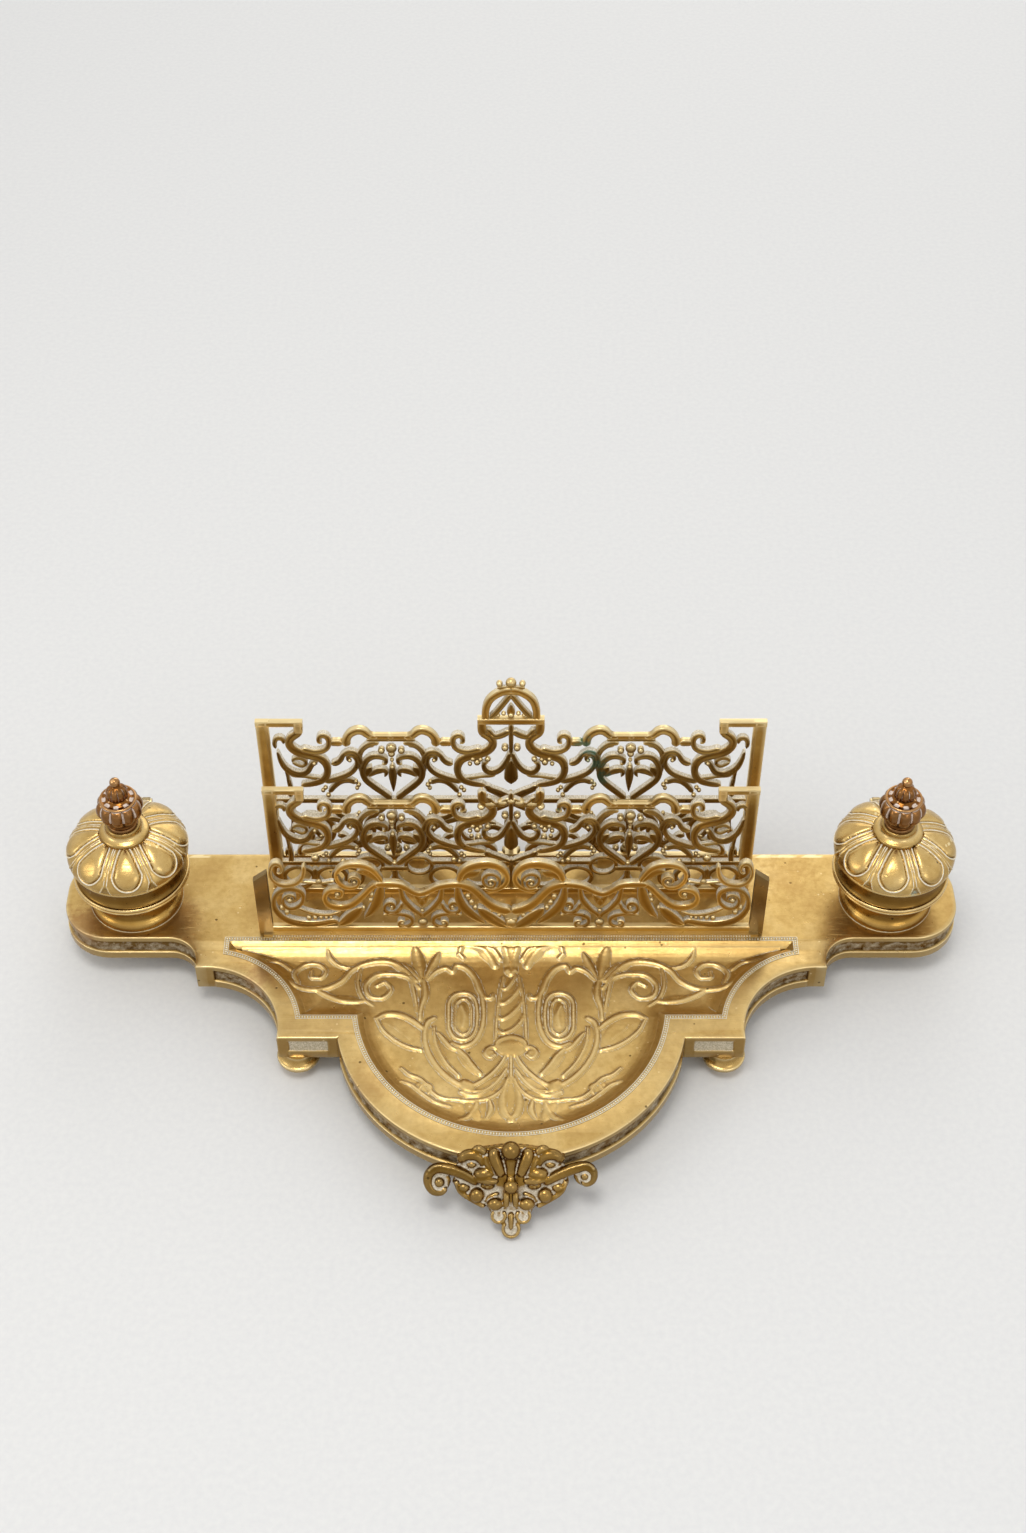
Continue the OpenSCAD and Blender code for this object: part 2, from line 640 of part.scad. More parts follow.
// Relief of the mask: y runs down the slope as a negative value, z runs into the mount
module mask_relief() {
    volute_r = 6.4;
    volute_x = mask_half - volute_r;
    lobe_r = 4.2;
    linear_extrude(mask_t) polygon([
        [-19, 1], [19, 1], [21, -6], [23, -16], [15, -22.5], [9, -27], [4, -mask_len],
        [-4, -mask_len], [-9, -27], [-15, -22.5], [-23, -16], [-21, -6]
    ]);
    translate([0, -1.5, -1]) sphere(r = 4.1);
    translate([0, -15, -0.5]) sphere(r = 3.8);
    for (s = [-1, 1]) {
        translate([s * volute_x, -14.5, -1]) cylinder(r = volute_r, h = mask_t);
        translate([s * 9, -14, -2.2]) cylinder(r = 4.8, h = mask_t);
        translate([s * 5.6, -22.8, -1]) sphere(r = 3.4);
        translate([s * 13, -19.8, -0.6]) sphere(r = 3.2);
        translate([s * 5.4, lobe_r * 2.2 - mask_len, -0.6]) cylinder(r = lobe_r, h = mask_t);
        linear_extrude(mask_t - 1) polygon([[s * 16, 0], [s * 27, -8.3], [s * 27, -15], [s * 18, -11]]);
    }
    translate([0, lobe_r - mask_len, -0.6]) cylinder(r = lobe_r, h = mask_t);
}

module foot(i) {
    p = foot_places[i];
    k = foot_h / 11;
    color(brass) at_plan(p[0], p[1], 0) difference() {
        rotate_extrude($fn = 72) polygon([
            [0, 0], [peg_r - 0.3, 0], [peg_r, 0.4], [peg_r, 3 * k], [foot_r - 2.3, 3.4 * k],
            [foot_r - 0.6, 4.2 * k], [foot_r, 5.4 * k], [foot_r - 0.3, 6.6 * k], [foot_r - 1.3, 7.3 * k],
            [foot_r - 1.5, 8.1 * k], [foot_r - 2.3, 8.6 * k], [foot_r - 2.7, 9.8 * k],
            [foot_r - 2.1, foot_h], [0, foot_h]
        ]);
        translate([0, 0, -1]) cylinder(r = screw_r + plain_gap, h = foot_h + 2);
        translate([0, 0, -1]) cylinder(r = foot_head_r + 0.2, h = head_sink + head_h + 1);
    }
}

module foot_screws() {
    color(steel) for (p = foot_places) at_plan(p[0], p[1], head_sink) difference() {
        union() {
            cylinder(r = foot_head_r, h = head_h);
            cylinder(r = screw_r, h = foot_bore_top - head_sink - 0.5);
        }
        translate([-0.4, -5, -1]) cube([0.8, 10, 1.8]);
    }
}

module well_screws() {
    color(steel) for (s = [-1, 1]) at_plan(s * well_x, well_f, skin_z) difference() {
        union() {
            translate([0, 0, -head_h]) cylinder(r = screw_r + 1.6, h = head_h);
            translate([0, 0, -1]) cylinder(r = screw_r, h = skin + well_floor + 0.8);
        }
        translate([-0.4, -5, -head_h - 1]) cube([0.8, 10, 1.8]);
    }
}

module gallery_screws() {
    color(steel) for (g = gallery_rows, s = [-1, 0, 1]) at_plan(s * (g[0] - post_w / 2), g[1], skin_z)
        difference() {
            union() {
                translate([0, 0, -small_head_h]) cylinder(r = small_head_r, h = small_head_h, $fn = 32);
                translate([0, 0, -0.5]) cylinder(r = small_r, h = skin + small_len, $fn = 32);
            }
            translate([-0.25, -3, -small_head_h - 1]) cube([0.5, 6, 1.6]);
        }
}

module mask_screws() {
    inside = y_of(plate_reach - skirt);
    color(steel) for (s = [-1, 1]) translate([s * mask_screw_x, inside, mask_screw_z]) rotate([90, 0, 0])
        difference() {
            union() {
                translate([0, 0, -mask_head_h]) cylinder(r = mask_head_r, h = mask_head_h, $fn = 32);
                translate([0, 0, -0.5]) cylinder(r = mask_screw_r, h = skirt + mask_screw_in, $fn = 32);
            }
            translate([-0.3, -4, -mask_head_h - 1]) cube([0.6, 8, 1.8]);
        }
}

base_plate();
front_gallery();
middle_gallery();
back_gallery();
well(-1);  // left_well
well(1);  // right_well
liner(-1);  // left_liner
liner(1);  // right_liner
lid(-1);  // left_lid
lid(1);  // right_lid
hinge_pin(-1);  // left_hinge_pin
hinge_pin(1);  // right_hinge_pin
finial(-1);  // left_finial
finial(1);  // right_finial
finial_nut(-1);  // left_finial_nut
finial_nut(1);  // right_finial_nut
mask_mount();
foot(0);  // front_left_foot
foot(1);  // front_right_foot
foot(2);  // rear_left_foot
foot(3);  // rear_right_foot
foot_screws();
well_screws();
gallery_screws();
mask_screws();
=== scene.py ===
import math
import bmesh
import bpy
import numpy as np
from mathutils.geometry import tessellate_polygon
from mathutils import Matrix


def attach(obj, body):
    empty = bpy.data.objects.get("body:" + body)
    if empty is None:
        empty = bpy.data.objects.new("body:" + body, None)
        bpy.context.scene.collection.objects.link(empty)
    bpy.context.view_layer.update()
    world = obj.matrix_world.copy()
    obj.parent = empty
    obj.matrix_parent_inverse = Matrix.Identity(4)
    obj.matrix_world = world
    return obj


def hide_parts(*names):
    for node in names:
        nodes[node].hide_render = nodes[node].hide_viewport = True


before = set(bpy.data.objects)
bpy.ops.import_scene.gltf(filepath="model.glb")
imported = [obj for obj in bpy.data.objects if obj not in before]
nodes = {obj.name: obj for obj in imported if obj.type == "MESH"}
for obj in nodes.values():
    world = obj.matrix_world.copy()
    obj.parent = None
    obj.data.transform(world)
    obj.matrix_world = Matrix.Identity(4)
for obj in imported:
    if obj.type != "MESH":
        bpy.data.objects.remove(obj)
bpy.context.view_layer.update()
print("frame loaded,", len(nodes), "nodes")

# Shapes are drawn in millimetres as (x, f, z): f runs forward from the plate's back edge, z up from the table
place = {"midF": 85.2, "plateZ": 11.0, "topZ": 24.5}


def toWorld(points):
    # x as it is, y from the distance forward, all in metres
    points = np.asarray(points, float)
    return np.stack([points[:, 0], place["midF"] - points[:, 1], points[:, 2]], 1) / 1000.0


def part(points, faces, residue=0.0, dark=0.0):
    # One closed shell: points in mm, faces by index, and two values a point for the brass finish: residue, and painted
    # shade
    points = np.asarray(points, float)
    fill = lambda value: np.broadcast_to(np.asarray(value, float), len(points)).copy()
    return {"points": points, "faces": faces, "residue": fill(residue), "dark": fill(dark)}


def mirrored(item):
    # The same shell on the other side of the object's middle
    flip = dict(item)
    flip["points"] = item["points"] * np.array([-1.0, 1.0, 1.0])
    return flip


def putMesh(name, parts, body, finish, replaces=(), sharp=42.0, cavity=0.0):
    # Joins shells into one object in the shared frame, merges doubles and turns every face outwards
    points = toWorld(np.concatenate([p["points"] for p in parts]))
    starts = np.cumsum([0] + [len(p["points"]) for p in parts])
    faces = []
    for p, start in zip(parts, starts):
        if isinstance(p["faces"], np.ndarray):
            faces.extend((p["faces"] + start).tolist())
        else:
            faces.extend([[i + start for i in face] for face in p["faces"]])
    mesh = bpy.data.meshes.new(name)
    mesh.from_pydata(points.tolist(), [], faces)
    for key in ("residue", "dark"):
        layer = mesh.attributes.new(key, "FLOAT", "POINT")
        layer.data.foreach_set("value", np.concatenate([p[key] for p in parts]).astype(np.float32))
    work = bmesh.new()
    work.from_mesh(mesh)
    bmesh.ops.remove_doubles(work, verts=work.verts, dist=1e-6)
    bmesh.ops.recalc_face_normals(work, faces=work.faces)
    work.to_mesh(mesh)
    work.free()
    mesh.polygons.foreach_set("use_smooth", np.ones(len(mesh.polygons), bool))
    mesh.set_sharp_from_angle(angle=math.radians(sharp))
    if cavity:
        addCavity(mesh, cavity)
    piece = bpy.data.objects.new(name, mesh)
    bpy.context.scene.collection.objects.link(piece)
    mesh.materials.append(finish)
    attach(piece, body)
    if replaces:
        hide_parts(*replaces)
    return piece


def addCavity(mesh, gain):
    # Residue gathers where a point lies below its neighbours: the mean of (neighbour - point) . normal over the edge length
    count = len(mesh.vertices)
    co = np.empty(count * 3)
    no = np.empty(count * 3)
    mesh.vertices.foreach_get("co", co)
    mesh.vertices.foreach_get("normal", no)
    co, no = co.reshape(-1, 3), no.reshape(-1, 3)
    edges = np.empty(len(mesh.edges) * 2, int)
    mesh.edges.foreach_get("vertices", edges)
    a, b = edges.reshape(-1, 2).T
    step = co[b] - co[a]
    length = np.maximum(np.linalg.norm(step, axis=1), 1e-9)
    rise = np.zeros(count)
    near = np.zeros(count)
    np.add.at(rise, a, (step * no[a]).sum(1) / length)
    np.add.at(rise, b, -(step * no[b]).sum(1) / length)
    np.add.at(near, a, 1)
    np.add.at(near, b, 1)
    hollow = rise / np.maximum(near, 1)
    for turn in range(2):
        spread = np.zeros(count)
        np.add.at(spread, a, hollow[b])
        np.add.at(spread, b, hollow[a])
        hollow = 0.5 * hollow + 0.5 * spread / np.maximum(near, 1)
    layer = mesh.attributes["residue"]
    old = np.empty(count, np.float32)
    layer.data.foreach_get("value", old)
    layer.data.foreach_set("value", np.clip(old + gain * hollow, 0, 1).astype(np.float32))


# ---- materials

def toLinear(code):
    # sRGB hex to linear colour
    value = np.array([int(code[i:i + 2], 16) for i in (1, 3, 5)]) / 255.0
    low = value / 12.92
    high = ((value + 0.055) / 1.055) ** 2.4
    return (*np.where(value <= 0.04045, low, high).tolist(), 1.0)


def newFinish(name):
    finish = bpy.data.materials.new(name)
    finish.use_nodes = True
    finish.node_tree.nodes.clear()
    return finish, finish.node_tree


def put(tree, kind, values=None, links=None, **settings):
    # Adds a node; values go on its input sockets and links join other nodes' outputs to them
    node = tree.nodes.new(kind)
    for key, value in settings.items():
        setattr(node, key, value)
    for key, value in (values or {}).items():
        node.inputs[key].default_value = value
    for key, source in (links or {}).items():
        tree.links.new(source, node.inputs[key])
    return node


def ramp(tree, source, stops):
    # Colour ramp from (place, hex or grey) stops
    node = put(tree, "ShaderNodeValToRGB", links={"Fac": source})
    stopList = node.color_ramp.elements
    while len(stopList) < len(stops):
        stopList.new(0.5)
    for stop, (at, colour) in zip(stopList, stops):
        stop.position = at
        stop.color = toLinear(colour) if isinstance(colour, str) else (colour, colour, colour, 1.0)
    return node.outputs["Color"]


def mixColour(tree, share, a, b, way="MIX"):
    node = put(tree, "ShaderNodeMix", data_type="RGBA", blend_type=way)
    for key, item in ((0, share), (6, a), (7, b)):
        if isinstance(item, (int, float)):
            node.inputs[key].default_value = item
        elif isinstance(item, str):
            node.inputs[key].default_value = toLinear(item)
        else:
            tree.links.new(item, node.inputs[key])
    return node.outputs[2]


def maths(tree, way, a, b=0.0, clamp=False):
    node = put(tree, "ShaderNodeMath", operation=way, use_clamp=clamp)
    for key, item in ((0, a), (1, b)):
        if isinstance(item, (int, float)):
            node.inputs[key].default_value = item
        else:
            tree.links.new(item, node.inputs[key])
    return node.outputs[0]


def blotted(tree, spot, colour, ragged, blots):
    # Blots at stated places in mm (x, f, z, radius, colour, strength), with ragged edges
    for x, f, z, radius, tone, strength in blots:
        at = toWorld([[x, f, z]])[0].tolist()
        away = put(tree, "ShaderNodeVectorMath", {1: at}, {0: spot}, operation="DISTANCE").outputs["Value"]
        edge = maths(tree, "SUBTRACT", maths(tree, "MULTIPLY", away, 1000.0 / radius), maths(tree, "MULTIPLY", maths(tree, "SUBTRACT", ragged, 0.5), 2.4))
        colour = mixColour(tree, maths(tree, "MULTIPLY", ramp(tree, edge, [(0.35, 1.0), (1.0, 0.0)]), strength), colour, tone)
    return colour


def brassFinish(name, look):
    # Aged cast brass: polished gold where it is rubbed, with a painted highlight on its edges, brown tarnish in
    # blotches, painted shade on upright faces and where a piece asks for it, a chalky polish residue in the recesses,
    # and the fine scratches, pits and pale specks of years on a desk
    finish, tree = newFinish(name)
    spot = put(tree, "ShaderNodeTexCoord").outputs["Object"]
    shape = put(tree, "ShaderNodeNewGeometry")
    residue = put(tree, "ShaderNodeAttribute", attribute_name="residue").outputs["Fac"]
    dark = put(tree, "ShaderNodeAttribute", attribute_name="dark").outputs["Fac"]
    # clouds about 22 mm across, mottling about 3 mm, grain about 0.6 mm
    cloud = put(tree, "ShaderNodeTexNoise", {"Scale": 1 / 0.022, "Detail": 4.0, "Roughness": 0.6}, {"Vector": spot}).outputs["Fac"]
    mottle = put(tree, "ShaderNodeTexNoise", {"Scale": 1 / 0.003, "Detail": 5.0, "Roughness": 0.65}, {"Vector": spot}).outputs["Fac"]
    grain = put(tree, "ShaderNodeTexNoise", {"Scale": 1 / 0.0006, "Detail": 3.0, "Roughness": 0.6}, {"Vector": spot}).outputs["Fac"]
    gold = ramp(tree, cloud, look["cloud"])
    gold = mixColour(tree, maths(tree, "MULTIPLY", ramp(tree, mottle, [(0.42, 0.0), (0.72, 1.0)]), look["mottle"]), gold, look["tarnish"])
    # edges rubbed to a light gold by wear and partly a painted highlight, hollows browned, from how the surface bends
    bend = shape.outputs["Pointiness"]
    gold = mixColour(tree, maths(tree, "MULTIPLY", ramp(tree, bend, [(0.505, 0.0), (0.56, 1.0)]), look["edge"]), gold, look["rubbedEdgeAndHighlight"])
    gold = mixColour(tree, maths(tree, "MULTIPLY", ramp(tree, bend, [(0.44, 1.0), (0.497, 0.0)]), look["crease"]), gold, look["hollowAndShadeBrown"])
    # painted shade: upright faces are mixed toward a deep brown-gold, as if they mirrored a darker room, while the tops
    # stay light
    upright = put(tree, "ShaderNodeSeparateXYZ", links={"Vector": shape.outputs["Normal"]}).outputs["Z"]
    # (a negative shade value from the mesh takes this painted shade off an upright face, so it shows as light as the
    # tops)
    paintedUprightShade = ramp(tree, maths(tree, "ABSOLUTE", upright), [(0.25, 1.0), (0.75, 0.0)])
    paintedUprightShade = maths(tree, "MULTIPLY", paintedUprightShade, maths(tree, "ADD", dark, 1.0, True))
    gold = mixColour(tree, maths(tree, "MULTIPLY", paintedUprightShade, look["upright"]), gold, look["paintedUprightShade"])
    # painted shade: the mesh's shade value browns hollows, undersides and faces where shade falls
    gold = mixColour(tree, maths(tree, "MULTIPLY", dark, look["paintedShadeGain"], True), gold, look["hollowAndShadeBrown"])
    # pits and dark spots about 0.5 mm, 9 mm apart, and pale specks nearer together
    pits = put(tree, "ShaderNodeTexVoronoi", {"Scale": 1 / 0.009, "Randomness": 1.0}, {"Vector": spot}).outputs["Distance"]
    pit = ramp(tree, pits, [(0.045, 1.0), (0.075, 0.0)])
    gold = mixColour(tree, maths(tree, "MULTIPLY", pit, 0.75), gold, "#3d2c12")
    specks = put(tree, "ShaderNodeTexVoronoi", {"Scale": 1 / 0.0055, "Randomness": 1.0}, {"Vector": spot}).outputs["Distance"]
    speck = maths(tree, "MULTIPLY", ramp(tree, specks, [(0.05, 1.0), (0.09, 0.0)]), look["specks"])
    gold = mixColour(tree, speck, gold, "#fff0c0")
    gold = blotted(tree, spot, gold, mottle, look.get("blots", []))
    # residue breaks up at its edge with the mottling
    level = maths(tree, "ADD", residue, maths(tree, "MULTIPLY", maths(tree, "SUBTRACT", mottle, 0.5), 0.9))
    chalk = ramp(tree, level, [(look["chalkLow"], 0.0), (look["chalkHigh"], 1.0)])
    chalkShare = maths(tree, "MULTIPLY", chalk, look["chalk"])
    chalkColour = ramp(tree, grain, [(0.3, look["chalkDark"]), (0.7, look["chalkPale"])])
    colour = mixColour(tree, chalkShare, gold, chalkColour)
    metal = maths(tree, "SUBTRACT", 1.0, maths(tree, "MULTIPLY", chalkShare, 0.85), True)
    # hairline scratches: noise drawn out along two directions, about 0.3 mm wide and 12 mm long
    scratches = []
    for turn in (0.5, -0.8):
        aligned = put(tree, "ShaderNodeMapping", {"Rotation": (0.0, 0.0, turn), "Scale": (1 / 0.012, 1 / 0.0004, 1 / 0.004)}, {"Vector": spot})
        line = put(tree, "ShaderNodeTexNoise", {"Scale": 1.0, "Detail": 2.0}, {"Vector": aligned.outputs[0]}).outputs["Fac"]
        scratches.append(ramp(tree, line, [(0.66, 0.0), (0.72, 1.0)]))
    scratch = maths(tree, "MAXIMUM", scratches[0], scratches[1])
    rough = maths(tree, "ADD", maths(tree, "MULTIPLY", mottle, 0.22), look["rough"])
    rough = maths(tree, "ADD", rough, maths(tree, "MULTIPLY", scratch, 0.12))
    rough = maths(tree, "ADD", rough, maths(tree, "MULTIPLY", chalkShare, 0.4), True)
    height = maths(tree, "ADD", maths(tree, "MULTIPLY", mottle, 0.5), maths(tree, "MULTIPLY", grain, 0.25))
    height = maths(tree, "SUBTRACT", height, maths(tree, "MULTIPLY", scratch, 0.25))
    height = maths(tree, "SUBTRACT", height, pit)
    bump = put(tree, "ShaderNodeBump", {"Strength": look["bump"], "Distance": 0.0003}, {"Height": height})
    shader = put(tree, "ShaderNodeBsdfPrincipled", links={"Base Color": colour, "Metallic": metal, "Roughness": rough, "Normal": bump.outputs[0]})
    put(tree, "ShaderNodeOutputMaterial", links={"Surface": shader.outputs[0]})
    return finish


brassLook = {
    "cloud": [(0.3, "#b69459"), (0.5, "#c9a868"), (0.7, "#d7b97c")],
    "tarnish": "#a07b3e", "mottle": 0.4, "rubbedEdgeAndHighlight": "#f6e2ae", "edge": 0.75, "hollowAndShadeBrown": "#54390f", "crease": 0.6,
    "paintedUprightShade": "#77561f", "upright": 0.6, "paintedShadeGain": 0.9, "specks": 0.35, "chalk": 0.85, "chalkLow": 0.45, "chalkHigh": 0.75,
    "chalkDark": "#a3977c", "chalkPale": "#e4dac2", "rough": 0.2, "bump": 0.35,
}
# brownish blots on the wings, most on the left, and in the dish's left half
plateBrass = brassFinish("cast brass, polished top", dict(brassLook, blots=[
    (-181, 40, 24.5, 13, "#9b6f48", 0.55), (-140, 34, 24.5, 9, "#a67c4e", 0.4), (-104, 66, 22, 9, "#b07a52", 0.4),
    (150, 44, 24.5, 12, "#a07c45", 0.35), (118, 12, 24.5, 14, "#b18a50", 0.35), (-60, 120, 24.5, 12, "#b48c55", 0.3)]))
# the bead line round the dish holds polish residue, so it looks silvery
borderBrass = brassFinish("cast brass, bead line with residue", dict(
    brassLook, cloud=[(0.3, "#a39a80"), (0.5, "#b9b096"), (0.7, "#cdc5ac")], tarnish="#8d8468", paintedUprightShade="#8a8168", rubbedEdgeAndHighlight="#ece6d2", specks=0.0))
# the racks keep more tarnish, with verdigris where damp stood on the right half of the back one
rackBrass = brassFinish("cast brass, tarnished openwork", dict(
    brassLook, cloud=[(0.3, "#937035"), (0.5, "#ad8947"), (0.7, "#c5a15a")], paintedUprightShade="#86662c", upright=0.6, chalk=0.92, chalkLow=0.38, chalkHigh=0.72,
    chalkDark="#a89c82", chalkPale="#f0e9da", rough=0.2, bump=0.15, specks=0.1, blots=[
        (31, 3, 96, 6.5, "#5f8f88", 0.8), (35, 3, 86, 5.5, "#5f8f88", 0.75), (38, 3, 77, 5, "#4f7f78", 0.7), (17, 22, 77, 4, "#5f9a90", 0.7), (-70, 22, 41, 3, "#6b4226", 0.8)]))
# the wells' deep band under the lid is painted shade, from a deep upright colour and a deep hollow brown
bodyBrass = brassFinish("turned brass", dict(brassLook, cloud=[(0.3, "#9c7536"), (0.5, "#b88f48"), (0.7, "#caa55c")], rough=0.12, paintedUprightShade="#654310", upright=0.65, specks=0.1,
                                             hollowAndShadeBrown="#3f250a", chalkLow=0.5, chalkHigh=0.7))
lidBrass = brassFinish("cast brass, chased lid", dict(
    brassLook, upright=0.25, specks=0.1, chalkLow=0.4, chalkHigh=0.6, chalkDark="#d2c9b2", chalkPale="#f8f3e6", rough=0.14, blots=[(165, 49.6, 56, 2.2, "#8fa39a", 0.8)]))
footBrass = brassFinish("turned brass, foot", dict(brassLook, upright=0.35, specks=0.1, rough=0.14))
maskBrass = brassFinish("cast brass, mask", dict(
    brassLook, cloud=[(0.3, "#604619"), (0.5, "#7b5b25"), (0.7, "#967336")], tarnish="#523b15", rubbedEdgeAndHighlight="#e2c68a", edge=0.7, crease=0.8, upright=0.2, specks=0.05,
    chalkLow=0.4, chalkHigh=0.72, chalkDark="#a89d86", chalkPale="#ece4d2", rough=0.12))
# copper-rich bronze: redder metal, rubbed pink-gold on its lobes and given a painted highlight there, with chalky
# residue in the flutes
copperBronze = brassFinish("cast copper bronze", dict(
    brassLook, cloud=[(0.3, "#5c3b18"), (0.5, "#805225"), (0.7, "#9b6732")], tarnish="#452a0e", rubbedEdgeAndHighlight="#ecbd84", hollowAndShadeBrown="#2c180a",
    paintedUprightShade="#58371a", upright=0.35, chalkDark="#c4b0a2", chalkPale="#f4e8dd", rough=0.08, specks=0.05, chalkLow=0.4, chalkHigh=0.62))


def glassFinish():
    # Pressed clear glass: a faint green body with a fire-polished surface and slight waves
    finish, tree = newFinish("pressed glass")
    spot = put(tree, "ShaderNodeTexCoord").outputs["Object"]
    wave = put(tree, "ShaderNodeTexNoise", {"Scale": 1 / 0.006, "Detail": 1.0}, {"Vector": spot}).outputs["Fac"]
    tint = ramp(tree, wave, [(0.3, "#dfe9e4"), (0.7, "#eef4f0")])
    bump = put(tree, "ShaderNodeBump", {"Strength": 0.2, "Distance": 0.0002}, {"Height": wave})
    shader = put(tree, "ShaderNodeBsdfPrincipled", {"Roughness": 0.05, "IOR": 1.5, "Transmission Weight": 0.9},
                 {"Base Color": tint, "Normal": bump.outputs[0]})
    put(tree, "ShaderNodeOutputMaterial", links={"Surface": shader.outputs[0]})
    return finish


def steelFinish():
    # Dull turned steel: fine tool marks and a grey-brown bloom
    finish, tree = newFinish("turned steel")
    spot = put(tree, "ShaderNodeTexCoord").outputs["Object"]
    bloom = put(tree, "ShaderNodeTexNoise", {"Scale": 1 / 0.002, "Detail": 4.0}, {"Vector": spot}).outputs["Fac"]
    marks = put(tree, "ShaderNodeTexNoise", {"Scale": 1 / 0.0003, "Detail": 2.0}, {"Vector": spot}).outputs["Fac"]
    colour = ramp(tree, bloom, [(0.35, "#6f685f"), (0.65, "#98948e")])
    rough = maths(tree, "ADD", maths(tree, "MULTIPLY", bloom, 0.3), 0.3)
    bump = put(tree, "ShaderNodeBump", {"Strength": 0.2, "Distance": 0.0001}, {"Height": marks})
    shader = put(tree, "ShaderNodeBsdfPrincipled", {"Metallic": 1.0}, {"Base Color": colour, "Roughness": rough, "Normal": bump.outputs[0]})
    put(tree, "ShaderNodeOutputMaterial", links={"Surface": shader.outputs[0]})
    return finish


linerGlass = glassFinish()
screwSteel = steelFinish()


# ---- shapes

def smoothLine(points, step):
    # Catmull-Rom curve through the rows of points, taken again at even steps along its length
    points = np.asarray(points, float)
    if len(points) > 2:
        ends = np.concatenate([[2 * points[0] - points[1]], points, [2 * points[-1] - points[-2]]])
        t = np.linspace(0, 1, 12, endpoint=False)[None, :, None]
        p0, p1, p2, p3 = ends[:-3, None], ends[1:-2, None], ends[2:-1, None], ends[3:, None]
        curve = 0.5 * (2 * p1 + (p2 - p0) * t + (2 * p0 - 5 * p1 + 4 * p2 - p3) * t ** 2 + (3 * p1 - p0 - 3 * p2 + p3) * t ** 3)
        points = np.concatenate([curve.reshape(-1, points.shape[1]), points[-1:]])
    run = np.concatenate([[0], np.cumsum(np.linalg.norm(np.diff(points[:, :2], axis=0), axis=1))])
    at = np.linspace(0, run[-1], max(3, int(run[-1] / step) + 1))
    return np.stack([np.interp(at, run, points[:, i]) for i in range(points.shape[1])], 1), at


def ringFaces(rows, ring, closed=False):
    # Quads between rows of points, each row a closed ring; closed joins the last row to the first
    i = np.arange(rows if closed else rows - 1)[:, None]
    j = np.arange(ring)[None, :]
    a = i * ring + j
    b = i * ring + (j + 1) % ring
    c = ((i + 1) % rows) * ring + (j + 1) % ring
    d = ((i + 1) % rows) * ring + j
    return np.stack([a, b, c, d], -1).reshape(-1, 4)


def lathe(profile, turns, centre, radius=None, height=None, residue=0.0, dark=0.0):
    # Turns a (radius, z) profile about an upright axis; radius and height may add to it by angle and place on the profile
    profile = np.asarray(profile, float)
    angle = np.linspace(0, 2 * math.pi, turns, endpoint=False)
    r = profile[:, 0][:, None] + np.zeros(turns) if radius is None else profile[:, 0][:, None] + radius
    z = profile[:, 1][:, None] + np.zeros(turns) if height is None else profile[:, 1][:, None] + height
    r = np.maximum(r, 0)
    x = centre[0] + r * np.sin(angle)
    f = centre[1] + r * np.cos(angle)
    points = np.stack([x, f, z], -1).reshape(-1, 3)
    value = lambda v: (np.asarray(v, float)[:, None] if np.ndim(v) == 1 else np.asarray(v, float)) + np.zeros_like(r)
    return part(points, ringFaces(len(profile), turns), value(residue).reshape(-1), value(dark).reshape(-1))


def bulb(centre, size, turns=14, rings=8, residue=0.0, dark=0.0):
    # Ellipsoid by angle round and angle up, with closed poles
    up = np.linspace(-math.pi / 2, math.pi / 2, rings + 1)[1:-1]
    around = np.linspace(0, 2 * math.pi, turns, endpoint=False)
    x = np.cos(up)[:, None] * np.cos(around)
    f = np.cos(up)[:, None] * np.sin(around)
    z = np.sin(up)[:, None] + np.zeros(turns)
    points = np.concatenate([np.stack([x, f, z], -1).reshape(-1, 3), [[0, 0, -1], [0, 0, 1]]])
    points = points * np.asarray(size, float) + np.asarray(centre, float)
    faces = ringFaces(rings - 1, turns).tolist()
    last = (rings - 2) * turns
    faces += [[(i + 1) % turns, i, len(points) - 2] for i in range(turns)]
    faces += [[last + i, last + (i + 1) % turns, len(points) - 1] for i in range(turns)]
    return part(points, faces, residue, dark)


# Cross-section of a cast band: share of the half width, and depth behind the front face. A low groove runs down its face
bandRing = [(-1.0, 0.55), (-0.9, 0.14), (-0.66, 0.0), (-0.3, 0.06), (0.0, 0.3), (0.3, 0.06), (0.66, 0.0), (0.9, 0.14), (1.0, 0.55)]


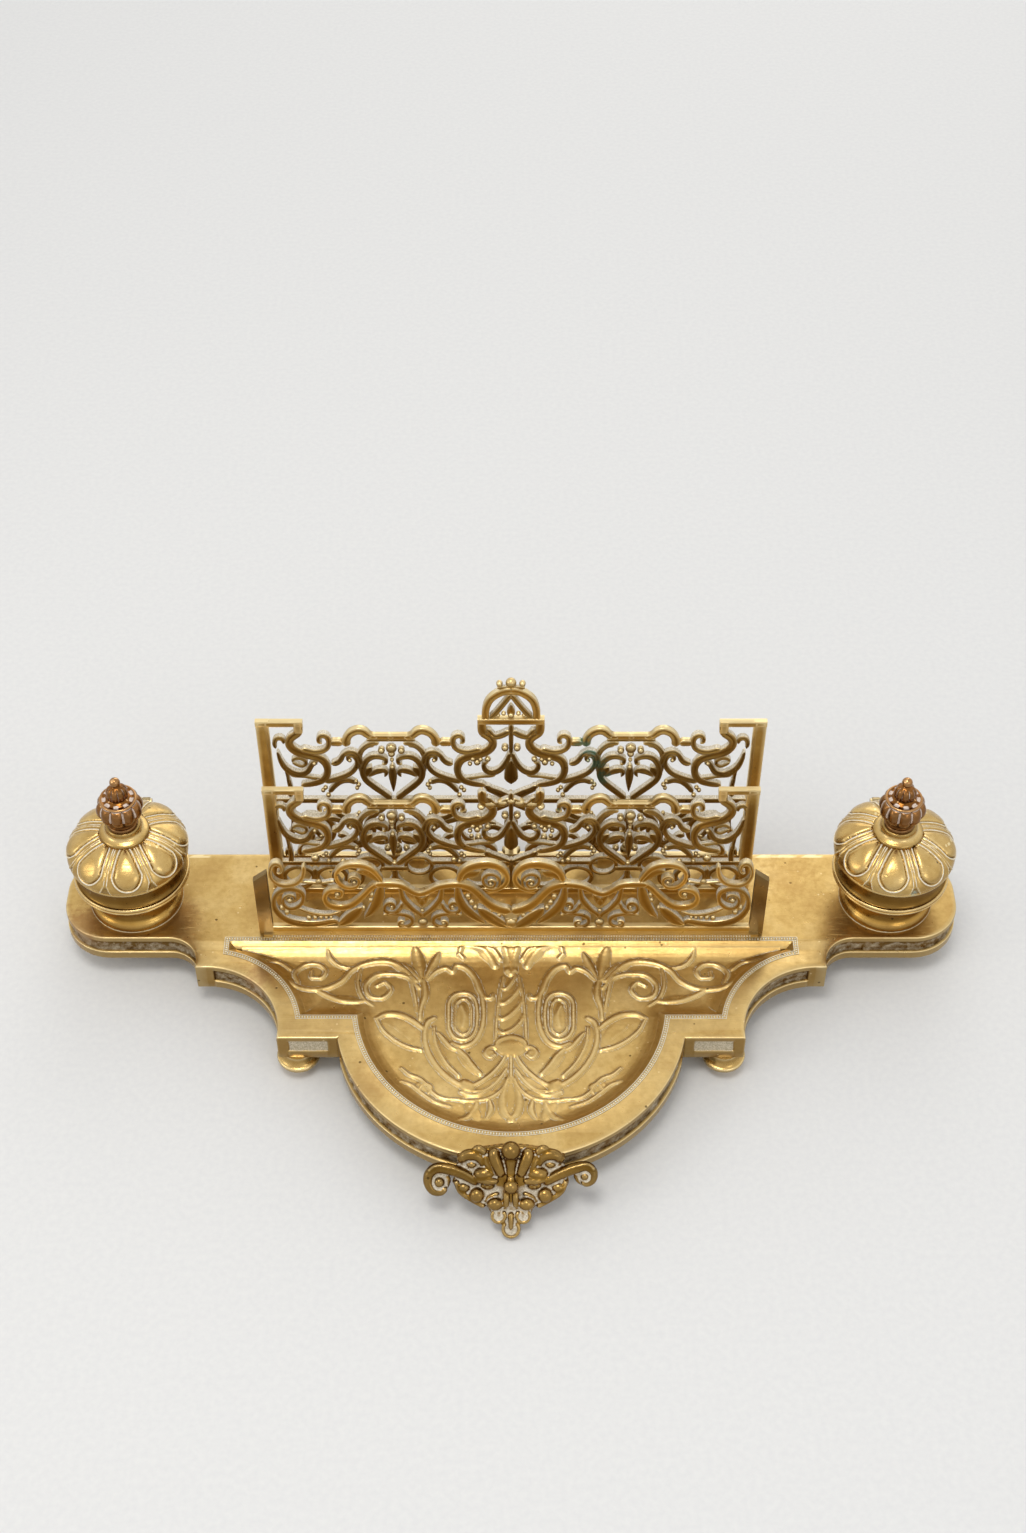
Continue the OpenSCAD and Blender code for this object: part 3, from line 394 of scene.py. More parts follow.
def band(line, front, depth, lift=0.0, groove=1.0, round_=True, step=0.8, walls=0.95, dark=0.3):
    # Flat band in an upright plane: the line holds x, z and full width; its ring is carried along the line's normals,
    # and the width falls as a circle's does near a rounded end
    path, run = smoothLine(line, step)
    way = np.gradient(path[:, :2], axis=0)
    way /= np.maximum(np.linalg.norm(way, axis=1, keepdims=True), 1e-9)
    across = np.stack([-way[:, 1], way[:, 0]], 1)
    half = path[:, 2] / 2
    if round_:
        near = np.minimum(run, run[-1] - run) / np.maximum(half, 0.2)
        half = half * np.sqrt(1 - (1 - np.clip(near, 0.02, 1)) ** 2)
    backEdge = 0.15  # small bevel where the walls meet the plain back
    share = np.array([a for a, d in bandRing] + [0.97, 0.9, -0.9, -0.97])
    drop = np.array([d if a else 0.06 + (d - 0.06) * groove for a, d in bandRing] + [depth - backEdge, depth, depth, depth - backEdge])
    x = path[:, 0][:, None] + across[:, 0][:, None] * share * half[:, None]
    z = path[:, 1][:, None] + across[:, 1][:, None] * share * half[:, None]
    f = front + lift - drop[None, :] + np.zeros_like(x)
    f = np.where(drop[None, :] >= depth - backEdge, front - drop[None, :], f)
    points = np.stack([x, f, z], -1).reshape(-1, 3)
    ring = len(share)
    faces = ringFaces(len(path), ring).tolist() + [list(range(ring))[::-1], [(len(path) - 1) * ring + i for i in range(ring)]]
    # walls take residue; the last argument is painted shade on the front and back faces, kept off the walls when
    # positive, and a negative one takes away the painted shade of upright faces
    edge = np.where(np.abs(share) >= 0.96, walls, 0.0) + np.where(share == 0, 0.25 * groove, 0.0)
    shade = np.where((np.abs(share) >= 0.96) & (dark > 0), 0.0, dark)
    return part(points, faces, np.broadcast_to(edge, x.shape).reshape(-1), np.broadcast_to(shade, x.shape).reshape(-1))


def slab(outline, front, back, bevel=0.35, residue=0.0, dark=0.0):
    # Upright plate from a convex outline of (x, z), its front edges softened
    outline = np.asarray(outline, float)
    centre = outline.mean(0)
    inner = outline + (centre - outline) / np.linalg.norm(centre - outline, axis=1, keepdims=True) * bevel * 1.4
    rows = [(inner, front), (outline, front - bevel), (outline, back + bevel), (inner, back)]
    points = np.concatenate([np.column_stack([ring[:, 0], np.full(len(ring), f), ring[:, 1]]) for ring, f in rows])
    n = len(outline)
    faces = ringFaces(4, n).tolist() + [list(range(n))[::-1], [3 * n + i for i in range(n)]]
    return part(points, faces, residue, dark)


# ---- plate and pen dish

plate = {
    "width": 380.0, "reach": 155.7, "skin": 3.5, "skirt": 4.0, "channel": 1.3, "bandTop": 2.4, "bandLow": 4.5,
    "wingD": 46.8, "wingLen": 58.5, "wingR": 20.0, "filletR": 12.6, "nibStep": 4.2, "nibDrop": 2.7,
    "coveR": 32.3, "blockW": 24.6, "blockDrop": 3.8, "rim": 8.4, "dish": 4.0, "dishFloor": 2.5, "galleryF": 43.9, "dishGap": 3.2,
}
p = plate
halfW = p["width"] / 2
nibX = halfW - p["wingLen"]
filletX, filletF = nibX + p["filletR"], p["wingD"] + p["filletR"]
nibF = filletF + p["nibDrop"]
coveX, coveF = nibX - p["nibStep"], nibF + p["coveR"]
blockOut, blockF = coveX - p["coveR"], coveF + p["blockDrop"]
roundX, roundRise = blockOut - p["blockW"], p["reach"] - blockF
roundR = (roundX ** 2 + roundRise ** 2) / (2 * roundRise)
roundF = p["reach"] - roundR
dishF, dishX, dishBlockF = p["galleryF"] + p["dishGap"], nibX - p["rim"] - 3.6, blockF - p["rim"] - 2
dishR = roundR - p["rim"] + 0.9
dishRoundF = p["reach"] - p["rim"] - 3.1 - dishR


def arc(cx, cf, r, start, stop, count):
    # Points round a centre from one angle to another, in degrees, angle 90 pointing forward
    a = np.radians(np.linspace(start, stop, count + 1))
    return np.stack([cx + r * np.cos(a), cf + r * np.sin(a)], 1)


def cutAngle(rise, r):
    return -180 - math.degrees(math.asin(max(-1.0, min(0.0, rise / r))))


def bothSides(half):
    return np.concatenate([half, (half * [-1, 1])[::-1][:-1] if abs(half[0, 0]) < 1e-9 else (half * [-1, 1])[::-1]])


def line2(a, b, count):
    return np.linspace(a, b, count + 1)


def plateOutline(d):
    # The plate's edge drawn in by d: back line, wing ends, fillets, nibs, coves, blocks and the round front
    p = plate
    start = math.degrees(math.asin((blockF - d - roundF) / (roundR - d)))
    return bothSides(np.concatenate([
        line2([0, d], [halfW - p["wingR"], d], 60)[:-1],
        arc(halfW - p["wingR"], p["wingR"], p["wingR"] - d, -90, 0, 20),
        line2([halfW - d, p["wingR"]], [halfW - d, p["wingD"] - p["wingR"]], 4)[1:-1],
        arc(halfW - p["wingR"], p["wingD"] - p["wingR"], p["wingR"] - d, 0, 90, 20),
        line2([halfW - p["wingR"], p["wingD"] - d], [filletX, p["wingD"] - d], 16)[1:-1],
        arc(filletX, filletF, p["filletR"] + d, -90, cutAngle(nibF - d - filletF, p["filletR"] + d), 20),
        [[nibX - d, nibF - d]],
        arc(coveX, coveF, p["coveR"] + d, -90, cutAngle(blockF - d - coveF, p["coveR"] + d), 100),
        [[blockOut - d, blockF - d]],
        line2([blockOut - d, blockF - d], [(roundR - d) * math.cos(math.radians(start)), blockF - d], 60)[1:-1],
        arc(0, roundF, roundR - d, start, 89.5, 130),
    ]))


def dishOutline(d):
    # The pen dish's edge drawn in by d: straight back, the coves' parallels, the steps and the round front
    r = plate["coveR"] + plate["rim"] + d
    x, back, step = dishX - d, dishF + d, dishBlockF - d
    sideA, backA = -math.degrees(math.acos((x - coveX) / r)), cutAngle(back - coveF, r)
    start = math.degrees(math.asin((step - dishRoundF) / (dishR - d)))
    sideF = coveF + r * math.sin(math.radians(sideA))
    corner = (dishR - d) * math.cos(math.radians(start))
    cove = arc(coveX, coveF, r, min(sideA, backA), cutAngle(step - coveF, r), 50)
    return bothSides(np.concatenate([
        line2([0, back], [min(x, cove[0, 0]), back], 110),
        line2([min(x, cove[0, 0]), back], cove[0], 8)[1:-1],
        cove,
        line2(cove[-1], [corner, step], 22)[1:-1],
        arc(0, dishRoundF, dishR - d, start, 89.5, 90),
    ]))


def stackRings(rings, zs):
    # Rows of a plan outline at given heights, as points
    return np.concatenate([np.column_stack([ring, np.full(len(ring), z) if np.ndim(z) == 0 else z]) for ring, z in zip(rings, zs)])


def flatFill(outer, inner, z, residue=0.0):
    # Flat face between an outline and a hole in it
    loops = [[(*q, 0.0) for q in outer]] + ([[(*q, 0.0) for q in inner]] if inner is not None else [])
    faces = [list(t) for t in tessellate_polygon(loops)]
    points = np.concatenate([outer] + ([inner] if inner is not None else []))
    return part(np.column_stack([points, np.full(len(points), z)]), faces, residue)


def channelDepth():
    # The channel runs round the edge and closes at solid piers by the nibs and the block corners
    edge = plateOutline(0.0)
    depth = np.full(len(edge), plate["channel"])
    for x, f, size in ((nibX - 2.0, nibF - 0.5, 5.2), (blockOut, blockF, 4.2), (roundX, blockF, 4.2)):
        for side in (-1, 1):
            away = np.hypot(edge[:, 0] - side * x, edge[:, 1] - f)
            depth = np.where(away < size, 0.0, np.minimum(depth, plate["channel"] * np.clip((away - size) / 0.5, 0, 1)))
    # the panel on each block's front is shallow
    panel = (np.abs(edge[:, 1] - blockF) < 0.05) & (np.abs(edge[:, 0]) > roundX)
    return np.where(panel, np.minimum(depth, 0.55), depth), panel & (depth > 0)


reliefHeight = 0.8

# Raised ornament of the dish, left half: [x, f, width, height share] along each ridge
dishRelief = {
    "outerScroll": [[-112, 55, 2, .3], [-103, 59, 2.4, .8], [-97, 66, 2.8, 1], [-89, 70.5, 3, 1], [-79, 70.8, 3, 1], [-71, 67, 2.8, 1], [-66, 60.5, 2.6, 1], [-59, 57.2, 2.8, 1], [-51, 56.8, 3, 1], [-44.5, 60.5, 3, 1], [-39.5, 66.5, 3, .9]],
    "outerEye": [[-88.5, 68, 2, .8], [-90, 63, 2.2, 1], [-86.5, 58.6, 2.4, 1], [-81, 58, 2.4, 1], [-77.5, 61, 2.2, 1], [-79, 64.8, 2, 1], [-83, 64.8, 1.8, 1], [-83.2, 61.8, 1.6, .9]],
    "outerLobe": [[-104, 57, 1.6, .5], [-97, 57.4, 2, .9], [-92, 61, 2, .7]],
    "sprout": [[-66, 60, 1.6, .8], [-71.5, 58.8, 1.8, .9], [-75.5, 55.4, 2.4, .9], [-77, 51.5, 1, .4]],
    "husks": [[-80, 71.5, 2.6, .9], [-75, 74.5, 3, 1], [-70, 76.6, 3, 1], [-64.5, 77.4, 2.8, .9], [-60, 76.6, 2, .6]],
    "innerEye": [[-38, 70, 2, .5], [-43, 64.5, 2.4, .9], [-49, 62.8, 2.6, 1], [-56, 63.5, 2.6, 1], [-60.2, 68.5, 2.6, 1], [-58.5, 74.3, 2.4, 1], [-53, 75.2, 2.2, 1], [-49.8, 71.2, 2, 1], [-52.2, 67.4, 1.8, 1], [-55.6, 69, 1.6, .9]],
    "underBand": [[-63, 60, 1.6, .6], [-63.6, 68, 2, .9], [-61, 75.5, 2, .8], [-57, 79, 1.4, .4]],
    "cusp": [[-49, 58.5, 1.8, .5], [-42.5, 64.5, 2, .8], [-40, 73, 2, .8], [-38.6, 82, 1.6, .4]],
    "leafTall": [[-36.8, 67, 2, .8], [-38, 60, 4.6, 1], [-39.4, 54.5, 4.8, 1], [-40.4, 50.6, 2, .5]],
    "leafRight": [[-36.2, 66, 1.6, .8], [-33.6, 60, 3.4, 1], [-31.4, 55.4, 3, .9], [-30.2, 52.8, 1, .4]],
    "leafLeft": [[-37, 67, 1.4, .8], [-42, 60.6, 2.4, .9], [-45, 57.6, 1.2, .4]],
    "post": [[-36.4, 66, 3, .9], [-35.6, 73, 3.6, 1], [-37, 80, 2.6, .9], [-37.4, 86, 2, .7]],
    "shoulder": [[-35, 66, 1.8, .7], [-31.6, 61.8, 2.4, .9], [-27.6, 59.8, 2.6, 1], [-25, 61.4, 2.2, .9]],
    "strapOuter": [[-24.4, 61.8, 2, .9], [-22.8, 58.6, 2.6, 1], [-18.4, 60.2, 3, 1], [-15, 65, 3, 1], [-13, 71, 3, 1], [-10.8, 75, 2.6, 1], [-8.2, 75.2, 2.2, 1], [-7.6, 73.4, 1.6, .8]],
    "strapTail": [[-13.8, 66, 2, .7], [-12, 74, 2.6, 1], [-11.2, 83, 2.6, 1], [-12.2, 91, 2.8, 1], [-15.2, 97.4, 3, 1], [-20, 99.6, 2.8, 1], [-24, 98, 2.2, .8]],
    "ringOuter": [[-25.6, 84.6, 2.2, 1], [-25.4, 77, 2.2, 1], [-22.6, 73.4, 2.2, 1], [-18, 73, 2.2, 1], [-14.8, 76.4, 2, 1], [-13.8, 84.6, 2, 1], [-14.8, 92.6, 2, 1], [-18, 96.2, 2.2, 1], [-22.6, 95.4, 2.2, 1], [-25.2, 91, 2.2, 1], [-25.6, 84.6, 2.2, 1]],
    "ringInner": [[-23, 84.6, 1.4, .8], [-22.6, 78.6, 1.4, .8], [-19.6, 75.8, 1.4, .8], [-16.8, 78.6, 1.4, .8], [-16.2, 84.6, 1.4, .8], [-16.8, 91, 1.4, .8], [-19.6, 93.6, 1.4, .8], [-22.6, 90.8, 1.4, .8], [-23, 84.6, 1.4, .8]],
    "bust": [[-20.4, 79.5, 2.6, .8], [-19, 84, 3.6, .9], [-19.8, 89.6, 3, .7]],
    "twistLow": [[-5.2, 91.5, 2, .7], [-3.4, 93, 2.6, 1], [.4, 91.4, 3, 1], [3.8, 87.4, 2.6, .9], [5, 83.6, 2, .6]],
    "twistMid": [[-5.2, 84.5, 2, .7], [-3.6, 86, 2.6, 1], [0, 83.6, 3, 1], [3.4, 79, 2.6, .9], [4.4, 75, 2, .6]],
    "twistHigh": [[-4.8, 77, 2, .7], [-3.2, 78.2, 2.6, 1], [0, 75.4, 3, 1], [2.8, 71, 2.4, .9], [3.4, 67.6, 1.8, .6]],
    "twistTop": [[-3.8, 70, 1.8, .7], [-2.2, 70.6, 2.2, 1], [0, 67.4, 2.4, 1], [1.8, 63.6, 2, .8]],
    "columnEdge": [[-6.2, 96, 1.8, .7], [-5.8, 86, 1.8, .8], [-4.8, 74, 1.8, .8], [-3.2, 64.6, 1.8, .8]],
    "dome": [[-6.4, 100.6, 2, .8], [-5, 97, 3, 1], [-1.6, 95.4, 3.8, 1.1], [0, 95.2, 4, 1.1]],
    "domeCurl": [[-5, 99.4, 2, .9], [-8.6, 100.4, 2.6, 1], [-10.2, 103, 2.6, 1], [-8.4, 105.2, 2.2, 1], [-6.4, 103.8, 1.8, .9]],
    "armOuter": [[-31.6, 85.4, 2.4, .9], [-34.4, 88.2, 3, 1], [-35, 95.4, 3, 1], [-33, 103.4, 3, 1], [-28.6, 111, 3, 1], [-23, 116.6, 3, 1], [-17.4, 119.6, 3.4, 1]],
    "armInner": [[-31.4, 90, 1.6, .8], [-30.4, 98.6, 2, .9], [-26.4, 107.4, 2, .9], [-21, 114, 2, .8]],
    "knot": [[-18.6, 117.6, 4.4, 1.1], [-16.6, 120.6, 4.4, 1.1]],
    "petalTop": [[-55, 86, 2, .7], [-51, 83.6, 3, 1], [-45.4, 84, 3.4, 1], [-40, 87, 3.2, 1], [-36, 90.6, 2.4, .9]],
    "petalLow": [[-54.6, 87, 1.6, .8], [-52, 92, 2.2, 1], [-47, 96.8, 2.4, 1], [-41.6, 100, 2.4, 1], [-36.4, 101.4, 2, .8]],
    "petalRib": [[-51.4, 88, 1.2, .5], [-46.6, 91, 1.6, .7], [-41, 96, 1.4, .6]],
    "bow": [[-29.6, 93, 1.6, .7], [-27.4, 96, 2.6, .9], [-24.6, 99.6, 2.6, .9], [-21.6, 101.4, 2, .7]],
    "rope": [[-21.4, 101, 2.6, .8], [-18.4, 104.6, 3, 1], [-15.8, 108.8, 3, 1], [-12.4, 113, 2.6, .8]],
    "swag": [[-17, 119.6, 2.6, .9], [-12.4, 117, 2.6, .9], [-7.6, 112.8, 2.4, .9], [-3.4, 106.8, 2, .9], [-1.4, 101, 1.8, .8]],
    "swagLow": [[-15.4, 121.6, 2, .8], [-10, 120.6, 2.2, .9], [-5.4, 116.4, 2, .8], [-1.8, 110.6, 1.4, .7]],
    "ribbonA": [[-44, 110.4, 1.6, .6], [-41, 113.4, 2, .9], [-36.8, 115.4, 2.4, 1], [-33.6, 118.6, 2.4, 1], [-31, 122.4, 2.2, 1], [-27, 124.8, 2, .9], [-20.6, 125.4, 2, .9]],
    "ribbonB": [[-43.6, 117.2, 1.4, .5], [-39.6, 118.8, 2, .8], [-35.6, 122.4, 2, .8], [-30.4, 126.6, 2, .8], [-24, 129, 1.6, .6]],
    "ribbonC": [[-36.6, 121, 1.8, .9], [-34.6, 117.8, 1.8, .9], [-31.8, 119.4, 1.8, .9], [-32.8, 122.6, 1.6, .9]],
    "sprayA": [[-21, 125.6, 2, .8], [-15, 126, 2.2, .9], [-9, 124.8, 2.2, .9], [-4, 121, 2, .9], [-1, 115, 1.6, .8]],
    "sprayB": [[-20, 121.8, 2, .8], [-15, 123.4, 2.4, .9], [-10, 121, 2.2, .9], [-5, 115.8, 1.6, .7]],
    "leafA": [[-13.4, 126, 2, .7], [-14.4, 130, 3.6, .9], [-17, 134, 3.2, .8], [-20.6, 136, 1.2, .3]],
    "leafB": [[-8.6, 125.6, 1.8, .7], [-8, 130, 3, .9], [-9.6, 134.4, 1.4, .4]],
    "leafC": [[-1.4, 117, 1.8, .8], [-3.2, 124, 3.6, 1], [-2.6, 131, 4, 1], [.6, 135.4, 2.6, .7]],
    "stemMid": [[0, 99.6, 3, .9], [0, 107, 2, .9], [0, 117, 2, .8]],
    "shellLeft": [[-21.6, 52.6, 2, .8], [-20.4, 49.8, 2.4, 1], [-16.4, 49.6, 2.6, 1], [-12, 51.4, 3.4, 1], [-8.6, 55, 4, 1.1], [-6.8, 58.6, 3.4, .9]],
    "shellDrop": [[-21.8, 53.4, 2.2, 1], [-20.2, 55, 1.8, .8]],
    "shellRib": [[-12, 50.2, 1.6, .9], [-7.6, 51.6, 2, 1], [-4.6, 55.6, 2.4, 1]],
    "shellTop": [[-3, 49.4, 2.4, .8], [-1.8, 53, 3.6, 1], [-.4, 58, 3.6, 1.1], [0, 61.6, 3.4, 1]],
    "shellBall": [[-1, 61, 4, 1.2], [0, 62.6, 4, 1.2]],
}


# Filled forms of the ornament, left half: [x, f, half length, half width, turn in degrees, height share]
dishBodies = [
    [0, 100.2, 6.4, 4.9, 0, 1.25], [-9.0, 102.8, 2.6, 2.4, 0, 1.0], [-17.6, 119, 3.4, 3.0, 40, 1.25], [0, 80, 5.2, 17, 0, 0.55], [0, 124, 5.0, 11, 0, 0.5],
    [-45.5, 92, 9.5, 5.6, 38, 0.5], [-19.6, 85, 3.8, 8.2, 0, 0.5], [-15.0, 131, 2.6, 5.4, -28, 0.6], [-9.0, 53.6, 5.8, 3.2, 40, 0.8], [-38.6, 57.5, 2.8, 6.2, -10, 0.7],
    [-32.6, 58.5, 1.9, 5.0, 18, 0.7], [-30.8, 100, 3.0, 13, -22, 0.5], [-17, 108, 2.2, 7, -38, 0.6], [-68.5, 76, 6.5, 2.0, 6, 0.6], [-35, 119.5, 3.6, 2.4, 30, 0.6],
    [-12, 122.8, 7.5, 2.0, -6, 0.5], [-9.6, 118.4, 8, 1.8, -38, 0.5], [0, 56.5, 3.2, 6.6, 0, 0.9],
]


def reliefAt(x, f):
    # Height of the ornament over a plan grid: each ridge is a rounded bank, its height 1 - (distance over half width) squared, the highest winning
    height = np.zeros_like(x)
    for name, ridge in dishRelief.items():
        path, _ = smoothLine([[a, b, c * 0.5, d] for a, b, c, d in ridge], 0.7)
        for side in (1,) if "twist" in name else (1, -1):
            lineX = path[:, 0] * side
            reach = path[:, 2].max() + 0.5
            near = (x > lineX.min() - reach) & (x < lineX.max() + reach) & (f > path[:, 1].min() - reach) & (f < path[:, 1].max() + reach)
            gx, gf = x[near][:, None], f[near][:, None]
            away = np.hypot(gx - lineX, gf - path[:, 1]) / path[:, 2]
            bank = (path[:, 3] * np.clip(1 - away ** 2, 0, 1) ** 0.8).max(1)
            height[near] = np.maximum(height[near], bank)
    for cx, cf, rx, rf, turn, share in dishBodies:
        c, s = math.cos(math.radians(turn)), math.sin(math.radians(turn))
        for side in (1, -1):
            dx, df = x * side - cx, f - cf
            away = np.hypot((dx * c + df * s) / rx, (df * c - dx * s) / rf)
            height = np.maximum(height, share * np.sqrt(np.clip(1 - away ** 2, 0, 1)))
    return height


def dishDepth(d):
    # Soft dish: its side leaves the border gently and runs down to the floor in one long curve, by distance in from the border
    return np.interp(d, [0.9, 1.6, 2.6, 4.0, 5.6, 7.4, 9.4, 12.0, 16.0], [0.0, 0.28, 0.85, 1.65, 2.45, 3.1, 3.55, 3.85, 4.0])


def basePlate():
    p = plate
    low, top = place["plateZ"], place["topZ"]
    depth, panel = channelDepth()
    base = plateOutline(0.0)
    inward = plateOutline(1.0) - base

    def at(d):
        return base + inward * (np.asarray(d)[:, None] if np.ndim(d) else d)
    cut, z1, z2 = depth, top - p["bandTop"], low + p["bandLow"]
    on = (depth / p["channel"])
    profile = [
        (plateOutline(2.2), top, 0), (at(0.75), top, 0), (at(0.32), top - 0.08, 0), (at(0.08), top - 0.3, 0), (at(0.0), top - 0.62, 0),
        (at(0.0), z1 + 0.15, 0), (at(0.12 * on), z1, 0.5), (at(cut), z1 - 0.12, 1.0), (at(cut + 0.15 * on), (z1 + z2) / 2, 0.9), (at(cut), z2 + 0.12, 1.0),
        (at(0.05 * on), z2, 0.5), (at(-0.3 * on), z2 - 0.25, 0), (at(-0.35 * on), z2 - 1.1, 0), (at(-0.3 * on), low + 0.6, 0), (at(0.1), low + 0.12, 0),
        (at(0.5), low, 0), (plateOutline(p["skirt"]), low, 0), (plateOutline(p["skirt"]), top - p["skin"], 0),
    ]
    points = stackRings([r for r, z, a in profile], [z for r, z, a in profile])
    count = len(base)
    # painted shade browns the channel, deepest in its upper half under the lip, and a little residue lies in it, more
    # along its floor; the blocks' panels are pale with residue and carry no painted shade
    residue = np.concatenate([np.where(panel, 0.95 * a, a * on * (0.3 if z > (z1 + z2) / 2 + 0.1 else 0.6)) for r, z, a in profile])
    dark = np.concatenate([np.where(panel, 0.0, a * on) * (0.95 if z > (z1 + z2) / 2 + 0.1 else 0.7) for r, z, a in profile])
    shells = [part(points, ringFaces(len(profile), count), residue, dark)]
    rim = dishOutline(0.9)
    shells.append(flatFill(plateOutline(2.2), rim, top))
    # Top of the dish's side in rings that follow the border, the last one sunk under the floor's grid
    ds = np.array([0.9, 1.1, 1.4, 1.8, 2.3, 2.9, 3.5, 4.0])
    rings = [dishOutline(d) for d in ds]
    count = len(rings[0])
    sink = np.where(ds > 3.9, 0.35, 0.0)
    shells.append(part(stackRings(rings, list(top - dishDepth(ds) - sink)), ringFaces(len(ds), count), np.repeat(np.where(ds < 1.2, 0.4, 0.0), count)))
    # Floor with its ornament, on a plan grid that reaches under the side
    gx, gf = np.meshgrid(np.arange(-113, 113.1, 0.5), np.arange(47.7, 144.4, 0.5))
    away = outlineDistance(gx, gf, dishOutline(0.0))
    z = top - dishDepth(away) - 0.3 * np.clip((3.5 - away) / 0.8, 0, 1)
    z = z + reliefHeight * reliefAt(gx, gf) * np.clip((away - 2.2) / 2.0, 0, 1)
    keep = away > 2.1
    quads = keep[:-1, :-1] & keep[1:, :-1] & keep[:-1, 1:] & keep[1:, 1:]
    index = np.arange(gx.size).reshape(gx.shape)
    faces = np.stack([index[:-1, :-1], index[:-1, 1:], index[1:, 1:], index[1:, :-1]], -1)[quads]
    used = np.unique(faces)
    remap = np.full(gx.size, -1)
    remap[used] = np.arange(len(used))
    grid = np.stack([gx, gf, z], -1).reshape(-1, 3)[used]
    soft = np.zeros_like(z)
    soft[1:-1, 1:-1] = z[2:, 1:-1] + z[:-2, 1:-1] + z[1:-1, 2:] + z[1:-1, :-2] - 4 * z[1:-1, 1:-1]
    shells.append(part(grid, remap[faces], np.clip(soft * 2.6, 0, 0.75).reshape(-1)[used], 0.0))
    # Underside: skin, the dish's bulge and the screw bosses
    skinZ, bulge = top - p["skin"], dishOutline(-1.6)
    bulge[:, 1] = np.clip(bulge[:, 1], 4.5, 151.2)
    inner = plateOutline(p["skirt"])
    shells.append(flatFill(inner, bulge, skinZ))
    floorZ = top - p["dish"] - p["dishFloor"]
    shells.append(part(stackRings([bulge, bulge], [skinZ, floorZ]), ringFaces(2, len(bulge))))
    shells.append(flatFill(bulge, None, floorZ))
    for x, f in ((blockOut - 7.5, blockF - 5.2), (halfW - 16.0, 24.2)):
        for side in (-1, 1):
            shells.append(lathe([[0, low], [4.0, low], [4.2, low + 0.3], [4.2, skinZ + 0.5], [0, skinZ + 0.5]], 32, (side * x, f)))
    return putMesh("basePlate", shells, "stand", plateBrass, ["base_plate"], sharp=38)


def outlineDistance(gx, gf, outline):
    # Distance in from a closed outline, negative outside it, for a whole grid
    a, b = outline, np.roll(outline, -1, axis=0)
    flat = np.stack([gx.ravel(), gf.ravel()], 1)
    best = np.full(len(flat), 1e9)
    inside = np.zeros(len(flat), bool)
    for i in range(0, len(flat), 4000):
        q = flat[i:i + 4000]
        ab = b - a
        t = np.clip(((q[:, None] - a) * ab).sum(-1) / np.maximum((ab ** 2).sum(-1), 1e-12), 0, 1)
        best[i:i + 4000] = np.linalg.norm(q[:, None] - (a + ab * t[..., None]), axis=-1).min(1)
        over = (a[:, 1] > q[:, None, 1]) != (b[:, 1] > q[:, None, 1])
        cross = a[:, 0] + (q[:, None, 1] - a[:, 1]) * ab[:, 0] / np.where(ab[:, 1] == 0, 1e-9, ab[:, 1])
        inside[i:i + 4000] = ((over & (q[:, None, 0] < cross)).sum(1) % 2) == 1
    return np.where(inside, best, -best).reshape(gx.shape)


border = {"in": 0.1, "along": 0.4, "across": 0.64, "height": 0.36, "pitch": 1.12, "thread": 0.86, "backRibs": (44.5, 46.0)}


def dishBorder():
    # A row of small upright beads between two threads all round the dish, and a ribbed strip along its straight back
    b = border
    top = place["topZ"]
    path = dishOutline(b["in"])
    closed = np.concatenate([path, path[:1]])
    run = np.concatenate([[0], np.cumsum(np.linalg.norm(np.diff(closed, axis=0), axis=1))])
    count = int(run[-1] / b["pitch"])
    at = (np.arange(count) + 0.5) * run[-1] / count
    centres = np.stack([np.interp(at, run, closed[:, 0]), np.interp(at, run, closed[:, 1])], 1)
    way = np.roll(centres, -1, axis=0) - np.roll(centres, 1, axis=0)
    way /= np.linalg.norm(way, axis=1, keepdims=True)
    ribX = np.arange(-100, 100.5, b["pitch"])
    ribF = sum(b["backRibs"]) / 2
    centres = np.concatenate([centres, np.column_stack([ribX, np.full(len(ribX), ribF)])])
    way = np.concatenate([way, np.tile([1.0, 0.0], (len(ribX), 1))])
    across = np.full(len(centres), b["across"])
    across[count:] = (b["backRibs"][1] - b["backRibs"][0]) / 2
    one = bulb((0, 0, 0), (1, 1, 1), 8, 4)
    u, v, w = one["points"].T
    x = centres[:, 0][:, None] + way[:, 0][:, None] * b["along"] * u - way[:, 1][:, None] * across[:, None] * v
    f = centres[:, 1][:, None] + way[:, 1][:, None] * b["along"] * u + way[:, 0][:, None] * across[:, None] * v
    z = top + b["height"] * w + np.zeros_like(x)
    size = len(u)
    faces = [[q + k * size for q in face] for k in range(len(centres)) for face in one["faces"]]
    shells = [part(np.stack([x, f, z], -1).reshape(-1, 3), faces, 0.5)]
    for d in (b["in"] - b["thread"], b["in"] + b["thread"]):
        rings = [dishOutline(d - 0.22), dishOutline(d - 0.12), dishOutline(d + 0.12), dishOutline(d + 0.22)]
        points = stackRings(rings, [top - 0.3, top + 0.2, top + 0.2, top - 0.3])
        shells.append(part(points, ringFaces(4, len(rings[0]), True), 0.35))
    return putMesh("dishBorder", shells, "stand", borderBrass)


basePlate()
dishBorder()
print("plate and dish made")


# ---- letter rack

